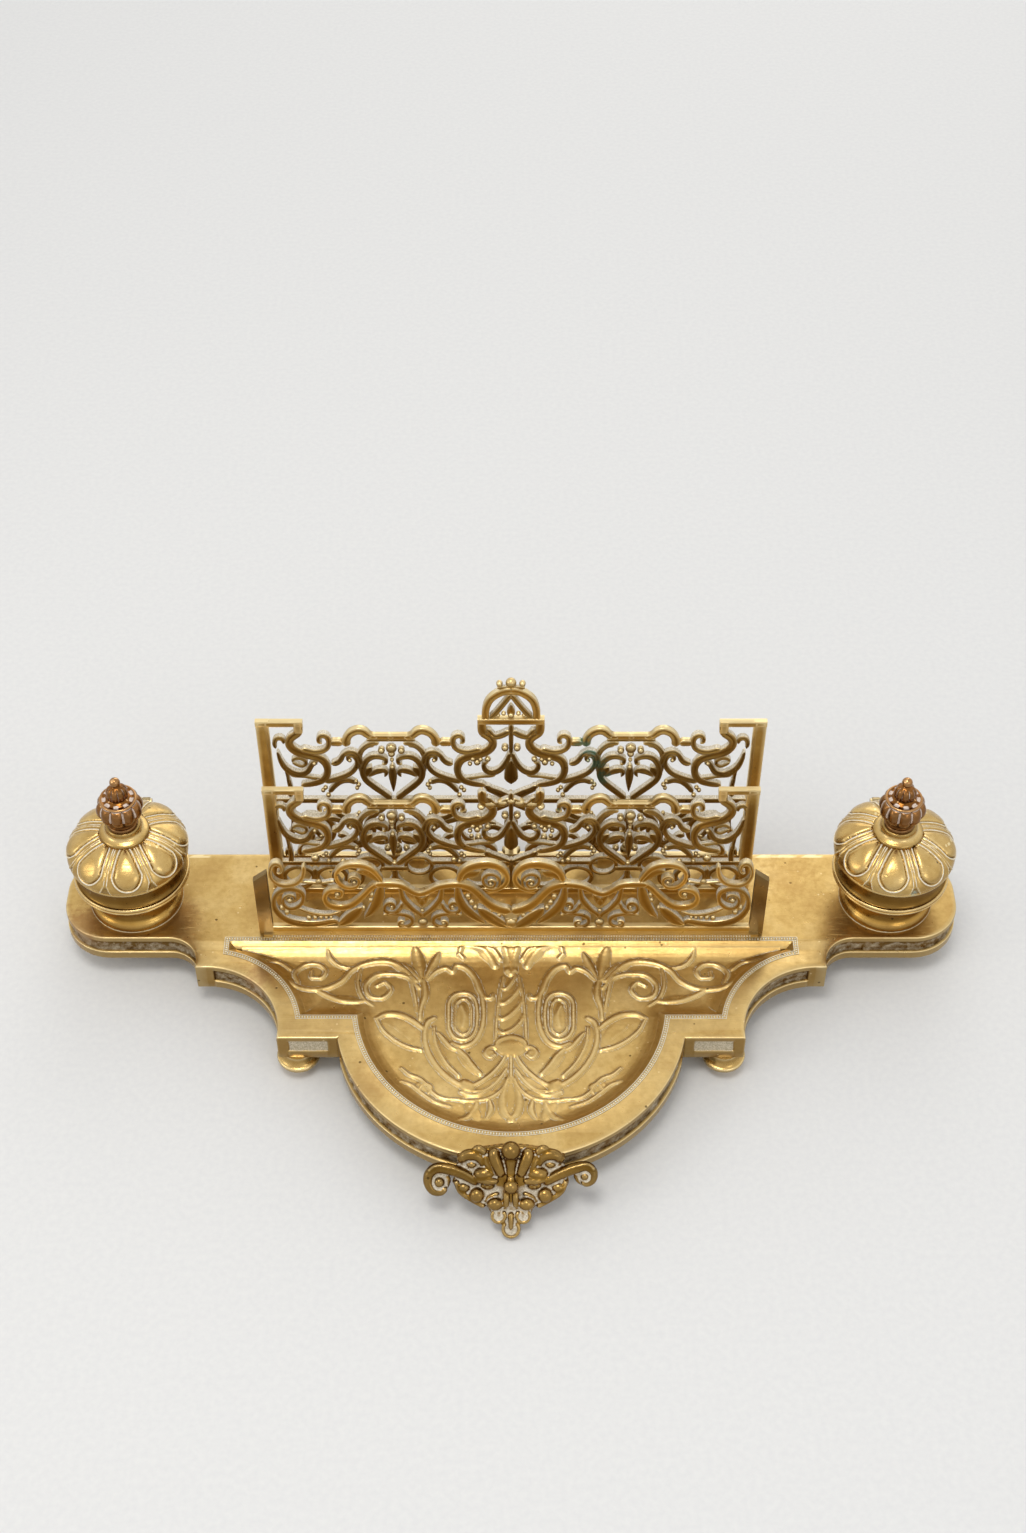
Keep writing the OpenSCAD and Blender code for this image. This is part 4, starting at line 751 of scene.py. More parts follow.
# Ornament between the lower bar and the rail, as [x, z, width]: x outwards from a heart's middle line, z above the bar
rackQuarter = {
    "ogee": [[37.3, 45.9, 3], [37.7, 39.9, 3], [40.3, 37.1, 3.1], [41.7, 34.4, 2.7], [41.2, 31.4, 3.2], [39, 28.7, 3.7], [35.7, 26.9, 3.8], [32, 25.6, 3.6], [29, 23.8, 3.2], [27.3, 20.5, 2.7], [27, 16.5, 2.4], [28.2, 12.7, 2.5], [30.7, 10.3, 2.7], [34.7, 8.8, 2.5], [38.6, 8.2, 1.9]],
    "volute": [[28.3, 33.8, 1.4], [29.6, 34.7, 1.2], [29.3, 37.1, 1.5], [27.7, 38.3, 2.3], [25.9, 37.1, 2], [25.4, 34, 1.7], [26.3, 30.9, 1.8], [28.7, 29, 2.2], [31.8, 28.5, 2.3], [34.4, 29.2, 2.4], [37, 30.2, 2.7]],
    "link": [[25.4, 33.8, 2.9], [23.1, 33.6, 2.7], [19.7, 33.7, 3.1]],
    "bump": [[18.5, 31.9, 3.3], [18.1, 35.6, 2.8], [16.7, 38.5, 2.7], [14.8, 40.1, 3], [12.9, 40.7, 3.1], [11, 40.1, 3], [9.4, 38.3, 2.5], [7.8, 37.2, 2.4], [5.5, 37.1, 2.2]],
    "rail": [[8.6, 37.1, 2.2], [3.3, 37.1, 2.1], [-1.2, 37.1, 2.1]],
    "railRib": [[10, 35.1, 1.1], [3.4, 35.1, 1.1], [-1.2, 35.1, 1.1]],
    "curl": [[17.7, 22.7, 1], [18.3, 24.5, 1.1], [17.1, 26.3, 1.9], [15.4, 25.6, 1.8], [14.5, 22.8, 1.5], [14.9, 19.6, 1.7], [17.2, 15.9, 2], [21.3, 13, 2.3], [25.2, 11.3, 2.3], [28.4, 10.1, 2.1]],
    "curlTop": [[25.2, 21.4, 2.2], [23.1, 21.7, 2.3], [21.2, 23.7, 1.9], [19.9, 26.5, 1.7], [17.7, 28.3, 2], [15.4, 27.8, 2.1], [13.7, 25.3, 1.8], [12.9, 21.2, 1.8]],
    "strap": [[5, 33.6, 1.8], [8.4, 33.1, 1.9], [11.1, 31.1, 1.6], [13.2, 27.8, 1.3], [13.8, 24.5, 1.1]],
    "longFoot": [[28.7, 11.4, 1.5], [32.9, 12.2, 1.4], [36.7, 13.1, 1.3], [40.8, 13.5, 1.3], [42.8, 14.4, 1]],
    "heart": [[4.2, 21.6, 1.2], [2.8, 21.6, 1.3], [2.5, 23.8, 1.4], [4.4, 25.3, 2.1], [7.2, 25.7, 2.4], [9.7, 24.2, 2.2], [11.7, 20.7, 2], [12.5, 16.3, 2], [11.4, 11.7, 2.2], [8.5, 7.8, 2.4], [4.6, 3.6, 2.3], [1.2, -0.1, 2.1]],
    "heartVein": [[6.9, 32.2, 1.6], [9.8, 31.4, 1.5], [12.1, 28.5, 1.3], [13.2, 24.4, 1.2], [13.6, 20, 1], [13.4, 16, 0.8]],
    "leafIn": [[3.5, 13.7, 0.9], [2.5, 15.7, 1.2], [3.7, 17.3, 2.4], [5.9, 17, 2.7], [7.8, 15.9, 2.1], [10, 13.7, 0.8]],
    "leafOut": [[8.7, 19.4, 0.9], [9.8, 17.8, 2.5], [10.8, 15.4, 2.1], [11.2, 13.2, 0.6]],
    "sprig": [[15.3, 9.1, 1.8], [18.4, 10.7, 2.3], [21.9, 10, 2.3], [24.7, 7.1, 1.9], [27, 3.4, 1.6]],
}
# Beside the end post only
rackOuter = {
    "cScroll": [[46.9, 28.5, 0.8], [46.2, 24, 1.5], [44.7, 19.4, 2.1], [41.9, 16, 2.7], [38.5, 14.9, 2.7], [35.4, 16.5, 2.1], [33.6, 19.9, 1.8], [31.9, 22.4, 1.9], [31.1, 21.2, 1.4]],
    "oval": [[41.4, 22.7, 0.9], [40.2, 24.3, 1.3], [38.2, 24.7, 1.6], [36.1, 23.4, 1.3], [35.6, 21.4, 1.1], [37.4, 19.8, 1.4], [39.6, 20.9, 1.3], [41.2, 22.5, 1]],
    "postCurl": [[47.4, 30.6, 1], [47.8, 33.4, 1.4], [46.8, 36, 1.7], [45.2, 36.5, 2.1], [44, 35.2, 1.5], [44, 33.4, 1]],
    "postStem": [[45.1, 22.8, 0.6], [44.3, 17.8, 1], [43.8, 13.3, 1.1], [43.7, 9.3, 1]],
    "postLeg": [[43.7, 12, 1.4], [43.2, 6, 1.6], [43.6, 1, 1.8]],
}
# In the middle of a row, left half, with x from the middle
rackCentre = {
    "stem": [[0, 44.7, 1.7], [0, 35.5, 1.5], [0, 27.8, 1.3]],
    "shoulder": [[-9.6, 42, 1.6], [-7.1, 37.7, 2.1], [-4.1, 38.1, 2.5], [-0.3, 40.9, 2.1]],
    "innerScroll": [[-9.3, 22.2, 1.1], [-10.6, 22, 1.4], [-11.4, 20, 1.5], [-10.3, 17.1, 2.1], [-7.6, 15.9, 2.6], [-4.5, 17.8, 2.2], [-2.1, 22.2, 1.8], [-0.3, 27.8, 1.4]],
    "pendant": [[0, 23.3, 1.9], [0, 17.1, 4.2], [0, 12, 4.6], [0, 9.2, 1.5]],
    "vee": [[-10.6, 8.2, 2], [-9.2, 5.8, 2.5], [-5.4, 3.4, 3.1], [0, -0.2, 3.4]],
}
# Small balls and buds: [x, z, radius], as the quarter's or the centre's
rackBuds = {
    "quarter": [[0, 30.6, 2.3], [0, 27.6, 1.5], [4.1, 29.5, 1.5], [14.5, 8.8, 1.1], [15.5, 10.9, 0.95], [15.2, 6.8, 0.95], [28.4, 7, 1], [29.5, 5.4, 1], [27.5, 2.4, 1.1],
                [0, 24, 0.9], [0, 19.6, 1.15], [32.2, 21.6, 1], [17.4, 23.6, 0.9]],
    "centre": [[-2.5, 31, 1.55], [-9.6, 24.4, 1.3], [-14, 22.6, 1.5], [-15.8, 24.4, 1.1], [-12.6, 24.2, 1]],
}


def rackPattern(front, depth, barZ, skip=(), flipFrom=None):
    # One row's ornament: every quarter stroke is drawn four times, then the strokes by the posts and in the middle
    heartX = 49.2
    shells = []

    def place2(line, x0, way):
        # Moves a stroke to a heart; flipFrom turns it upside down below the bar
        line = np.array(line, float)
        z = line[:, 1] if flipFrom is None else flipFrom - line[:, 1]
        return np.column_stack([x0 + way * line[:, 0], barZ + z if flipFrom is None else z, line[:, 2] * 1.22 + 0.15])
    for k, (name, line) in enumerate(rackQuarter.items()):
        if name in skip:
            continue
        line = [q for q in line if flipFrom is None or q[1] < flipFrom - 1.2]
        if len(line) < 2:
            continue
        grooved = 0.2 if name in ("rail", "link", "railRib", "leafOut") else 1.0
        lift = {"volute": 0.25, "heart": 0.2, "curlTop": 0.12, "leafIn": 0.1, "sprig": -0.3, "railRib": -0.35, "heartVein": -0.2, "longFoot": -0.4}.get(name, 0.0)
        # painted shade: most strokes' faces are browned, while the bump, rail and link have it taken away so their
        # fronts read lit, and the ogee and volute have it taken away a little
        walls, dark = (0.3, -0.7) if name in ("bump", "rail", "link") else (0.95, -0.1) if name in ("volute", "ogee") else (0.95, 0.3)
        for side in (-1, 1):
            for way in (-1, 1):
                shells.append(band(place2(line, side * heartX, way), front, depth, lift - 0.03 * (k % 3), grooved, walls=walls, dark=dark))
    for k, line in enumerate(rackOuter.values()):
        line = [q for q in line if flipFrom is None or q[1] < flipFrom - 1.2]
        for side in (-1, 1):
            if len(line) > 1:
                shells.append(band(place2(line, side * heartX, side), front, depth, 0.06 - 0.05 * k))
    for k, line in enumerate(rackCentre.values()):
        line = [q for q in line if flipFrom is None or q[1] < flipFrom - 1.2]
        for way in (-1, 1):
            if len(line) > 1 and (way == 1 or abs(line[0][0]) + abs(line[-1][0]) > 0.5):
                shells.append(band(place2(line, 0, way), front, depth, 0.1 - 0.04 * k))
    for name, buds in rackBuds.items():
        for x, z, r in buds:
            zz = barZ + z if flipFrom is None else flipFrom - z
            if flipFrom is not None and z > flipFrom - 1.2:
                continue
            spots = {side * heartX + way * x for side in (-1, 1) for way in (-1, 1)} if name == "quarter" else {x, -x}
            for xx in spots:
                # each small ball carries a little painted shade
                shells.append(bulb((xx, front - 0.3, zz), (r, min(1.5, r) + 0.2, r), 12, 8, 0.0, 0.35))
                if r > 1.4:
                    shells.append(bulb((xx, front - depth * 0.6, zz), (r * 0.95, depth * 0.45, r * 0.95), 10, 6, 0.6))
    for side in (-1, 1):
        z0 = (lambda z: barZ + z) if flipFrom is None else (lambda z: flipFrom - z)
        for way in (-1, 1):
            leaf = [[side * heartX, z0(20.6), 1.8], [side * heartX, z0(15.6), 3.6], [side * heartX, z0(10.9), 2.8], [side * heartX, z0(5), 0.6]]
        shells.append(band(leaf, front, depth, 0.5))
    return shells


rack = {
    "back": {"front": 3.8, "depth": 2.4, "half": 104.0, "barZ": 39.8, "top": 86.0, "bracket": 19.3, "post": 5.4, "lug": (3.4, 8.2)},
    "middle": {"front": 22.5, "depth": 2.4, "half": 101.5,"barZ": 19.1, "top": 65.6, "bracket": 17.0, "post": 5.4, "lug": (18.6, 22.2)},
    "front": {"front": 43.9, "depth": 2.6, "half": 106.0, "lug": (40.0, 43.6)},
}


def endBracket(row):
    # Post, top bar and the short leg that the first scroll hangs from
    outer, top, post = row["half"], row["top"], row["post"]
    inner = outer - row["bracket"]
    bars = [
        ([[outer - post / 2, -0.2, post], [outer - post / 2, top, post]], 0.0),
        ([[outer, top - 1.5, 3], [inner, top - 1.5, 3]], 0.02),
        ([[inner + 2, top - 0.05, 4], [inner + 2, top - 6.5, 3.6]], 0.04),
    ]
    # the post and bars have the painted shade of upright faces taken away, so they read lit
    return [band(line, row["front"], row["depth"], lift, 0.0, False, 3.0, 0.2, -0.9) for line, lift in bars]


def footRail(row, height):
    half = row["half"]
    # the rail has the painted shade of upright faces taken away, so it reads lit
    return [band([[-half, height / 2 - 0.1, height], [half, height / 2 - 0.1, height]], row["front"], row["depth"], 0.02, 0.0, False, 4.0, 0.2, -0.6)]


def raise_(shells):
    # Rows are drawn from the plate's top. Crossing shells with their backs in one plane would show dark patches
    # there, so each back stands a hair off its neighbours'
    for i, item in enumerate(shells):
        points = item["points"] + np.array([0, 0, place["topZ"]])
        points[:, 1] = np.maximum(points[:, 1], points[:, 1].min() + 0.0006 * i)
        item["points"] = points
    return shells


def ringBand(x, z, r, width, row, lift=0.0):
    # Closed round loop standing in a row
    a = np.linspace(0, 2 * math.pi, 25)
    line = np.column_stack([x + r * np.sin(a), z + r * np.cos(a), np.full(25, width)])
    return band(line, row["front"], row["depth"], lift, 0.6, False)


def lugs(row):
    # Screw lugs at a row's foot, by its posts and its middle
    shells = []
    for x in (-(row["half"] - 2.95), 0.0, row["half"] - 2.95):
        outline = [[x - 2.65, -0.2], [x + 2.65, -0.2], [x + 2.65, 8.6], [x + 2.1, 9], [x - 2.1, 9], [x - 2.65, 8.6]]
        shells.append(slab(outline, row["lug"][1], row["lug"][0], 0.4))
    return shells


def backGallery():
    row = rack["back"]
    shells = rackPattern(row["front"], row["depth"], row["barZ"])
    shells += rackPattern(row["front"], row["depth"], 0.0, ("bump", "link", "volute", "rail", "railRib"), 37.6)
    for item in endBracket(row):
        shells += [item, mirrored(item)]
    shells += footRail(row, 3.6)
    half = row["half"] - 4
    shells.append(band([[-half, 38.4, 2.8], [half, 38.4, 2.8]], row["front"], row["depth"], 0.05, 0.5, False, 4.0))
    # Crest: ledge, pointed arch, A-shaped stays, and three balls
    ledge = [[-13.6, 86.4, 3.4], [13.6, 86.4, 3.4]]
    # the ledge and the arch have the painted shade of upright faces taken away, so they read lit
    shells.append(band(ledge, row["front"], row["depth"], 0.35, 0.0, False, 3.0, 0.2, -0.6))
    for item in (
        band([[-11.9, 86.2, 2.9], [-11.7, 81.8, 2.9], [-10.6, 78.6, 2.8]], row["front"], row["depth"], 0.05, 0.3),
        band([[-10.3, 87.2, 3.1], [-10.2, 92.6, 3.1], [-8.7, 98, 3.2], [-5.6, 101.6, 3.4], [-2.4, 103.3, 3.6], [0, 103.7, 3.6]], row["front"], row["depth"], 0.2, 0.8, False, walls=0.5, dark=-0.3),
        band([[-8.3, 88.2, 2.2], [-5.8, 91.6, 2.4], [-3.0, 96.2, 2.4], [0, 101.6, 2.4]], row["front"], row["depth"], 0.0, 0.8),
        bulb((-4.6, row["front"] - 1.7, 106.6), (1.35, 1.6, 1.35)),
        bulb((-3, row["front"] - 0.8, 90.6), (1, 1.2, 1), 12, 8, 0.3),
        bulb((-5.2, row["front"] - 1, 89.4), (0.9, 1.1, 0.9), 12, 8, 0.3),
    ):
        shells += [item, mirrored(item)]
    shells.append(band([[-5.6, 105.1, 1.7], [5.6, 105.1, 1.7]], row["front"] - 0.4, row["depth"] - 0.8, 0.0, 0.0, True))
    shells.append(bulb((0, row["front"] - 1.7, 107), (2.2, 2.1, 2.2), 18, 12))
    shells.append(band([[0, 88.4, 2.6], [0, 92, 3.4], [0, 95.6, 0.8]], row["front"], row["depth"], -0.3, 0.6))
    shells.append(bulb((0, row["front"] - 0.2, 90), (1.3, 1.2, 1.3), 14, 8, 0.2))
    shells += lugs(row)
    return putMesh("backGallery", raise_(shells), "stand", rackBrass, ["back_gallery"])


def middleGallery():
    row = rack["middle"]
    shells = rackPattern(row["front"], row["depth"], row["barZ"])
    for item in endBracket(row):
        shells += [item, mirrored(item)]
    shells += footRail(row, 3.6)
    half = row["half"] - 4
    # Lower bar in lengths between the round loops, the hearts' plinths and a low arcade under them
    for item in (
        band([[-half, 19.9, 2.4], [-62, 19.9, 2.4]], row["front"], row["depth"], 0.1, 0.3, False, 3.0),
        band([[-36.4, 20.3, 2.2], [-2, 20.3, 2.2]], row["front"], row["depth"], 0.1, 0.3, False, 3.0),
        band([[-55, 16.6, 2.6], [-43.6, 16.6, 2.6]], row["front"], row["depth"], 0.3, 0.0, False, 2.0),
        ringBand(-38.9, 18.4, 5.4, 1.7, row, 0.15),
        ringBand(-59.5, 18.4, 5.4, 1.7, row, 0.15),
        bulb((-82.4, row["front"] - 0.6, 22.8), (1.9, 1.6, 1.9)),
        bulb((-70.8, row["front"] - 0.4, 21.3), (1.2, 1.2, 1.2)),
        bulb((-49.2, row["front"] - 0.2, 20.2), (1.1, 1.2, 1.1)),
        bulb((-24, row["front"] - 0.4, 22.2), (1.3, 1.3, 1.3)),
    ):
        shells += [item, mirrored(item)]
    for x in (-90, -76, -69, -28, -14):
        item = ringBand(x, 10.6, 6.2, 2.0, row, -0.05)
        shells += [item, mirrored(item)]
    for x in (-49.2, -83, -21):
        item = band([[x - 6, 3, 2], [x - 2.4, 6.4, 2.2], [x, 11.4, 2.4], [x, 16, 2]], row["front"], row["depth"], 0.0)
        other = band([[x + 6, 3, 2], [x + 2.4, 6.4, 2.2], [x, 11.4, 2.4], [x, 16, 2]], row["front"], row["depth"], -0.04)
        shells += [item, mirrored(item), other, mirrored(other)]
    # Gold lumps along the middle of its top
    for x, z, r in ((-8.4, 56.4, 2.5), (-3.4, 57.4, 2.2), (0, 58.6, 1.9), (-12.2, 54.8, 1.5)):
        item = bulb((x, row["front"] - 1.2, z), (r * 1.15, 1.9, r * 0.9), 14, 9)
        shells += [item, mirrored(item)] if x else [item]
    shells.append(band([[0, 3, 2], [0, 22, 2]], row["front"], row["depth"], -0.05))
    shells += lugs(row)
    return putMesh("middleGallery", raise_(shells), "stand", rackBrass, ["middle_gallery"])


# Front row, left half, as [x, z, width] from the plate's top
frontStrokes = {
    "endScroll": [[-95.7, 38.9, 1.1], [-94.6, 38.6, 1.2], [-93.7, 40.5, 1.2], [-94.1, 43.1, 1.9], [-95.7, 44.4, 2.8], [-97.5, 43.1, 1.9], [-98.5, 39.4, 1.6], [-98.3, 35.5, 1.8], [-96.7, 32.3, 2.3], [-94, 30.6, 2.7], [-90.9, 30.8, 2.6], [-88, 32.3, 2.3], [-85.9, 35.2, 2], [-84.8, 38.9, 1.9], [-84.5, 42.8, 2]],
    "lowSpiral": [[-91.3, 20.5, 1], [-89.7, 21.7, 0.9], [-90.1, 23.9, 1.4], [-91.9, 24.4, 1.8], [-93.8, 22.9, 1.4], [-94.6, 19.9, 1.3], [-93.8, 16.9, 1.8], [-91.5, 15.6, 2.3], [-88.6, 17, 2.1], [-86.4, 20.5, 1.8], [-86.1, 24.6, 2], [-87.7, 27.2, 2.7], [-90.7, 28.4, 3.1], [-94.1, 27.7, 2.8], [-97, 24.9, 2.1], [-98.5, 20.5, 1.9], [-98.4, 15.8, 2.4], [-96.5, 11.1, 3.1], [-93.4, 7.8, 4], [-89.4, 5.9, 4.5], [-84.2, 5.3, 4.2], [-78.5, 6.1, 3.5], [-74.3, 7.3, 3.2], [-72.6, 5.5, 1.5]],
    "stem": [[-88.7, 15.8, 1.3], [-85.5, 13.5, 1.6], [-81.5, 11.8, 1.6], [-77.5, 11.1, 1.7], [-74.1, 11.8, 1.6], [-71, 13.5, 1.3]],
    "sweep": [[-72.8, 23.4, 1.7], [-71.1, 23.4, 1.9], [-69.9, 25.1, 1.5], [-70.2, 27.2, 2.1], [-72.2, 27.7, 2.5], [-74.6, 27.2, 2.6], [-76.5, 25.1, 2.2], [-77.2, 21.7, 2.3], [-76.1, 18.5, 3.1], [-73.6, 16.7, 3.8], [-70.1, 16.3, 3.8], [-66.7, 17.6, 3.4], [-63.5, 20.8, 3], [-60.3, 25.1, 2.8], [-57.4, 29.2, 2.9], [-54.2, 31.2, 3.3], [-50.9, 31.5, 3.3]],
    "highVolute": [[-65.5, 32.1, 1], [-66.6, 33.2, 1], [-66.1, 35.3, 1.3], [-64.2, 36.1, 1.9], [-62.5, 34.6, 1.5], [-62.6, 31.7, 1.4], [-64.2, 29.6, 2.1], [-66.8, 29.1, 2.6], [-69.3, 30.4, 2.5], [-71.2, 33.7, 2.1], [-71.6, 37.6, 1.9], [-70.1, 40.8, 2.3], [-67.5, 42.7, 2.9], [-64.2, 43.4, 3.2], [-60.2, 42.8, 3.3], [-56.8, 40.4, 2.9], [-54.5, 36.7, 2.3], [-53, 33.2, 1.7]],
    "highLeaf": [[-63.1, 39.1, 2.3], [-59.3, 38.6, 4.4], [-56.1, 36, 4.1], [-53.7, 32.6, 1.8]],
    "link": [[-86.6, 31.9, 1.5], [-82.8, 31.6, 1.5], [-79.1, 31.2, 1.5], [-75.8, 31.6, 1.5], [-72.8, 32.5, 1.6]],
    "leafOne": [[-53.5, 30.6, 2.2], [-54.1, 26.9, 3.9], [-54.8, 22.8, 4.7], [-56.2, 18.2, 4.4], [-58.5, 13.5, 3.2], [-61.5, 9.6, 0.6]],
    "leafTwo": [[-62, 17, 1.3], [-64.2, 13.8, 4.6], [-66.7, 10.5, 5.5], [-69.5, 7.3, 4.7], [-72.8, 5, 1.6]],
    "rail": [[-56.1, 31.3, 3.3], [-52.5, 31.2, 3.4], [-49.2, 31.2, 3.4], [-45.5, 30.4, 3.3], [-42.7, 28.1, 3], [-40.2, 26, 2.9], [-37.8, 25.1, 3], [-35.4, 26, 2.8], [-32.7, 27.7, 2.8], [-29.8, 29.6, 3], [-26.1, 30.6, 3.3], [-22.4, 31, 3.4], [-19.5, 30.4, 3.5], [-16.5, 28.7, 3.5], [-14, 25.7, 3.5], [-11.5, 21.7, 3.6], [-8.9, 18.2, 4.1], [-5.9, 15.7, 4.5], [-3, 14.3, 4.6], [0, 14.1, 4.6]],
    "floretLeft": [[-45.5, 30.3, 1.7], [-45.3, 25.7, 2], [-44.6, 21.7, 2.4], [-42.8, 18, 2.5], [-40.4, 14.5, 2.3], [-38, 12, 2.1], [-37, 9.6, 2.1]],
    "floretRight": [[-28.5, 30, 1.7], [-28.7, 25.7, 2], [-29.4, 21.7, 2.4], [-31.2, 18, 2.5], [-33.6, 14.5, 2.3], [-36, 12, 2.1], [-37, 9.6, 2.1]],
    "floretTipLeft": [[-40.2, 25.1, 0.9], [-38.8, 22.8, 2.4], [-36.9, 19.6, 3.9], [-36.9, 17.6, 0.6]],
    "floretTipRight": [[-33.8, 25.1, 0.9], [-35.2, 22.8, 2.4], [-37, 19.6, 3.9], [-37, 17.6, 0.6]],
    "footLeft": [[-53.3, 11.8, 1.5], [-48.1, 12.1, 2], [-44.2, 11.3, 2.3], [-41.9, 9.6, 2], [-41.4, 6.7, 1.7], [-43, 4.3, 2.3], [-45.8, 3.8, 2.4], [-47.1, 5.5, 1.4], [-46.4, 7.4, 1.6], [-44.5, 7.3, 1.4]],
    "footRight": [[-20.7, 11.8, 1.5], [-25.9, 12.1, 2], [-29.8, 11.3, 2.3], [-32.1, 9.6, 2], [-32.6, 6.7, 1.7], [-31, 4.3, 2.3], [-28.2, 3.8, 2.4], [-26.9, 5.5, 1.4], [-27.6, 7.4, 1.6], [-29.5, 7.3, 1.4]],
    "sideLeft": [[-45.1, 19.3, 1.5], [-46.1, 15.8, 1.8], [-48.2, 13.2, 2.3], [-51, 12.9, 2.4], [-52.7, 15.1, 1.6], [-52, 18.2, 1.6], [-50, 19.4, 2.1], [-48.5, 17.7, 1.3], [-49.1, 15.5, 1.3], [-50.4, 15.7, 1.2]],
    "sideRight": [[-28.9, 19.3, 1.5], [-27.9, 15.8, 1.8], [-25.8, 13.2, 2.3], [-23, 12.9, 2.4], [-21.3, 15.1, 1.6], [-22, 18.2, 1.6], [-24, 19.4, 2.1], [-25.5, 17.7, 1.3], [-24.9, 15.5, 1.3], [-23.6, 15.7, 1.2]],
    "leafThree": [[-22.2, 30.3, 1.8], [-21.8, 23.4, 3.5], [-20, 17.3, 4.4], [-16.9, 12.6, 4.3], [-13.6, 8.9, 3.3], [-10.5, 6.1, 0.7]],
    "leafFour": [[-13.7, 16.4, 1.4], [-11, 12.6, 5.2], [-7.5, 8.6, 5.9], [-3.9, 5.3, 4.4], [-1.5, 4, 1.1]],
    "crownInner": [[-8.9, 31.5, 0.8], [-9.4, 32.5, 0.7], [-8.8, 34, 1.2], [-7.2, 33.9, 1.4], [-6.5, 31.9, 1.1], [-7.6, 29.9, 1.7], [-9.8, 30.2, 1.8], [-11.4, 32.5, 1.4], [-11.3, 35.6, 1.4], [-9.4, 37.6, 2], [-6.6, 37.3, 1.8], [-4.7, 34.3, 1.3], [-5.1, 30.4, 1.2], [-7.6, 28.1, 1]],
    "crownOuter": [[-21.4, 33.2, 2.3], [-20.2, 38, 3.2], [-17.1, 41.6, 4.1], [-13.4, 43.2, 4.5], [-9.8, 43.8, 4.5], [-5.8, 42.7, 3.8], [-2.7, 39.4, 2.9], [-1.5, 35.3, 2.3], [-2.6, 31.2, 2.5], [-5.3, 28.5, 2.6], [-8.4, 27.7, 2.4], [-11, 29.1, 1.6]],
    "crownLeaf": [[-20.7, 33.2, 1.3], [-17.9, 37, 4.2], [-15, 37.6, 4], [-12.4, 39.7, 0.8]],
}


def frontGallery():
    row = rack["front"]
    front, depth = row["front"], row["depth"]
    shells = []
    lifts = {"highLeaf": -0.5, "crownLeaf": -0.5, "link": -0.8, "stem": -0.3, "leafOne": 0.12, "leafTwo": 0.2, "leafThree": 0.15, "leafFour": 0.25, "rail": 0.1, "sweep": 0.05}
    for k, (name, line) in enumerate(frontStrokes.items()):
        grooved = 0.0 if name == "rail" else 0.8 if "eaf" in name else 0.45
        # painted shade: the rail, the crown's outer scroll, the high volute, the end scroll and the sweep have it taken
        # away so they read lit; the other strokes carry a little
        walls, dark = (0.5, -0.5) if name in ("rail", "crownOuter", "highVolute", "endScroll", "sweep") else (0.95, 0.1)
        item = band(line, front, depth, lifts.get(name, 0.0) - 0.02 * (k % 4), grooved, walls=walls, dark=dark)
        shells += [item, mirrored(item)]
    # small balls, each with a little painted shade
    for x, z, r, out in ((-37, 6.7, 2.1, 1.1), (-91.8, 21, 1.35, 0.9), (-8.4, 32, 0.9, 0.7), (-64.4, 32.8, 0.9, 0.7), (-71.8, 25, 1.2, 0.8), (-37, 14.6, 1, 0.6), (-79, 33, 1.4, 0.5),
                         (-49.6, 17, 0.8, 0.5), (-24.4, 17, 0.8, 0.5), (-45.6, 6.1, 0.9, 0.5), (-28.4, 6.1, 0.9, 0.5)):
        item = bulb((x, front - 0.5, z), (r, out + 0.5, r), 14, 9, 0.0, 0.35)
        shells += [item, mirrored(item)]
    shells.append(bulb((0, front - 0.4, 6.3), (2.4, 1.7, 2.7), 16, 10))
    # Serrations along the low spiral's leaf and the side leaves
    for x, z, r in ((-84.6, 8.6, 1.2), (-82, 8.9, 1.1), (-79.6, 9.2, 1.0), (-77.4, 9.2, 0.9), (-75.4, 9.4, 0.8), (-93.6, 12.4, 1.3), (-95.6, 15.4, 1.1),
                    (-57.6, 23.8, 1.2), (-58.2, 20.4, 1.2), (-61.6, 15.2, 1.2), (-17.9, 22.6, 1.3), (-16.4, 18.8, 1.3), (-14.9, 15.4, 1.2), (-8.2, 13.6, 1.2), (-5.2, 10.4, 1.2)):
        item = bulb((x, front - depth / 2, z), (r, depth / 2 - 0.2, r * 1.2), 10, 8, 0.25)
        shells += [item, mirrored(item)]
    # End posts with their sloping tops, the foot rail and the small step along its front
    outer = row["half"]
    # the end posts carry painted shade
    post = slab([[-outer, -0.2], [-outer + 5.9, -0.2], [-outer + 5.9, 39.2], [-outer, 34.1]], front + 0.02, front - depth, 0.4, 0.0, 0.8)
    shells += [post, mirrored(post)]
    shells += footRail(row, 4.0)
    # the step has the painted shade of upright faces taken away
    shells.append(slab([[-outer + 2, -0.2], [outer - 2, -0.2], [outer - 2, 0.9], [-outer + 2, 0.9]], front + 1.7, front - 0.5, 0.3, 0.0, -0.3))
    shells += lugs(row)
    return putMesh("frontGallery", raise_(shells), "stand", rackBrass, ["front_gallery"])


backGallery()
middleGallery()
frontGallery()
print("letter rack made")


# ---- inkwell lids and finials

well = {"x": 159.9, "f": 24.2, "rimZ": 53.8, "hingeBack": 28.2, "knuckleR": 2.1, "knuckleW": 5.0, "earX": 4.25, "earW": 3.0, "turns": 240}

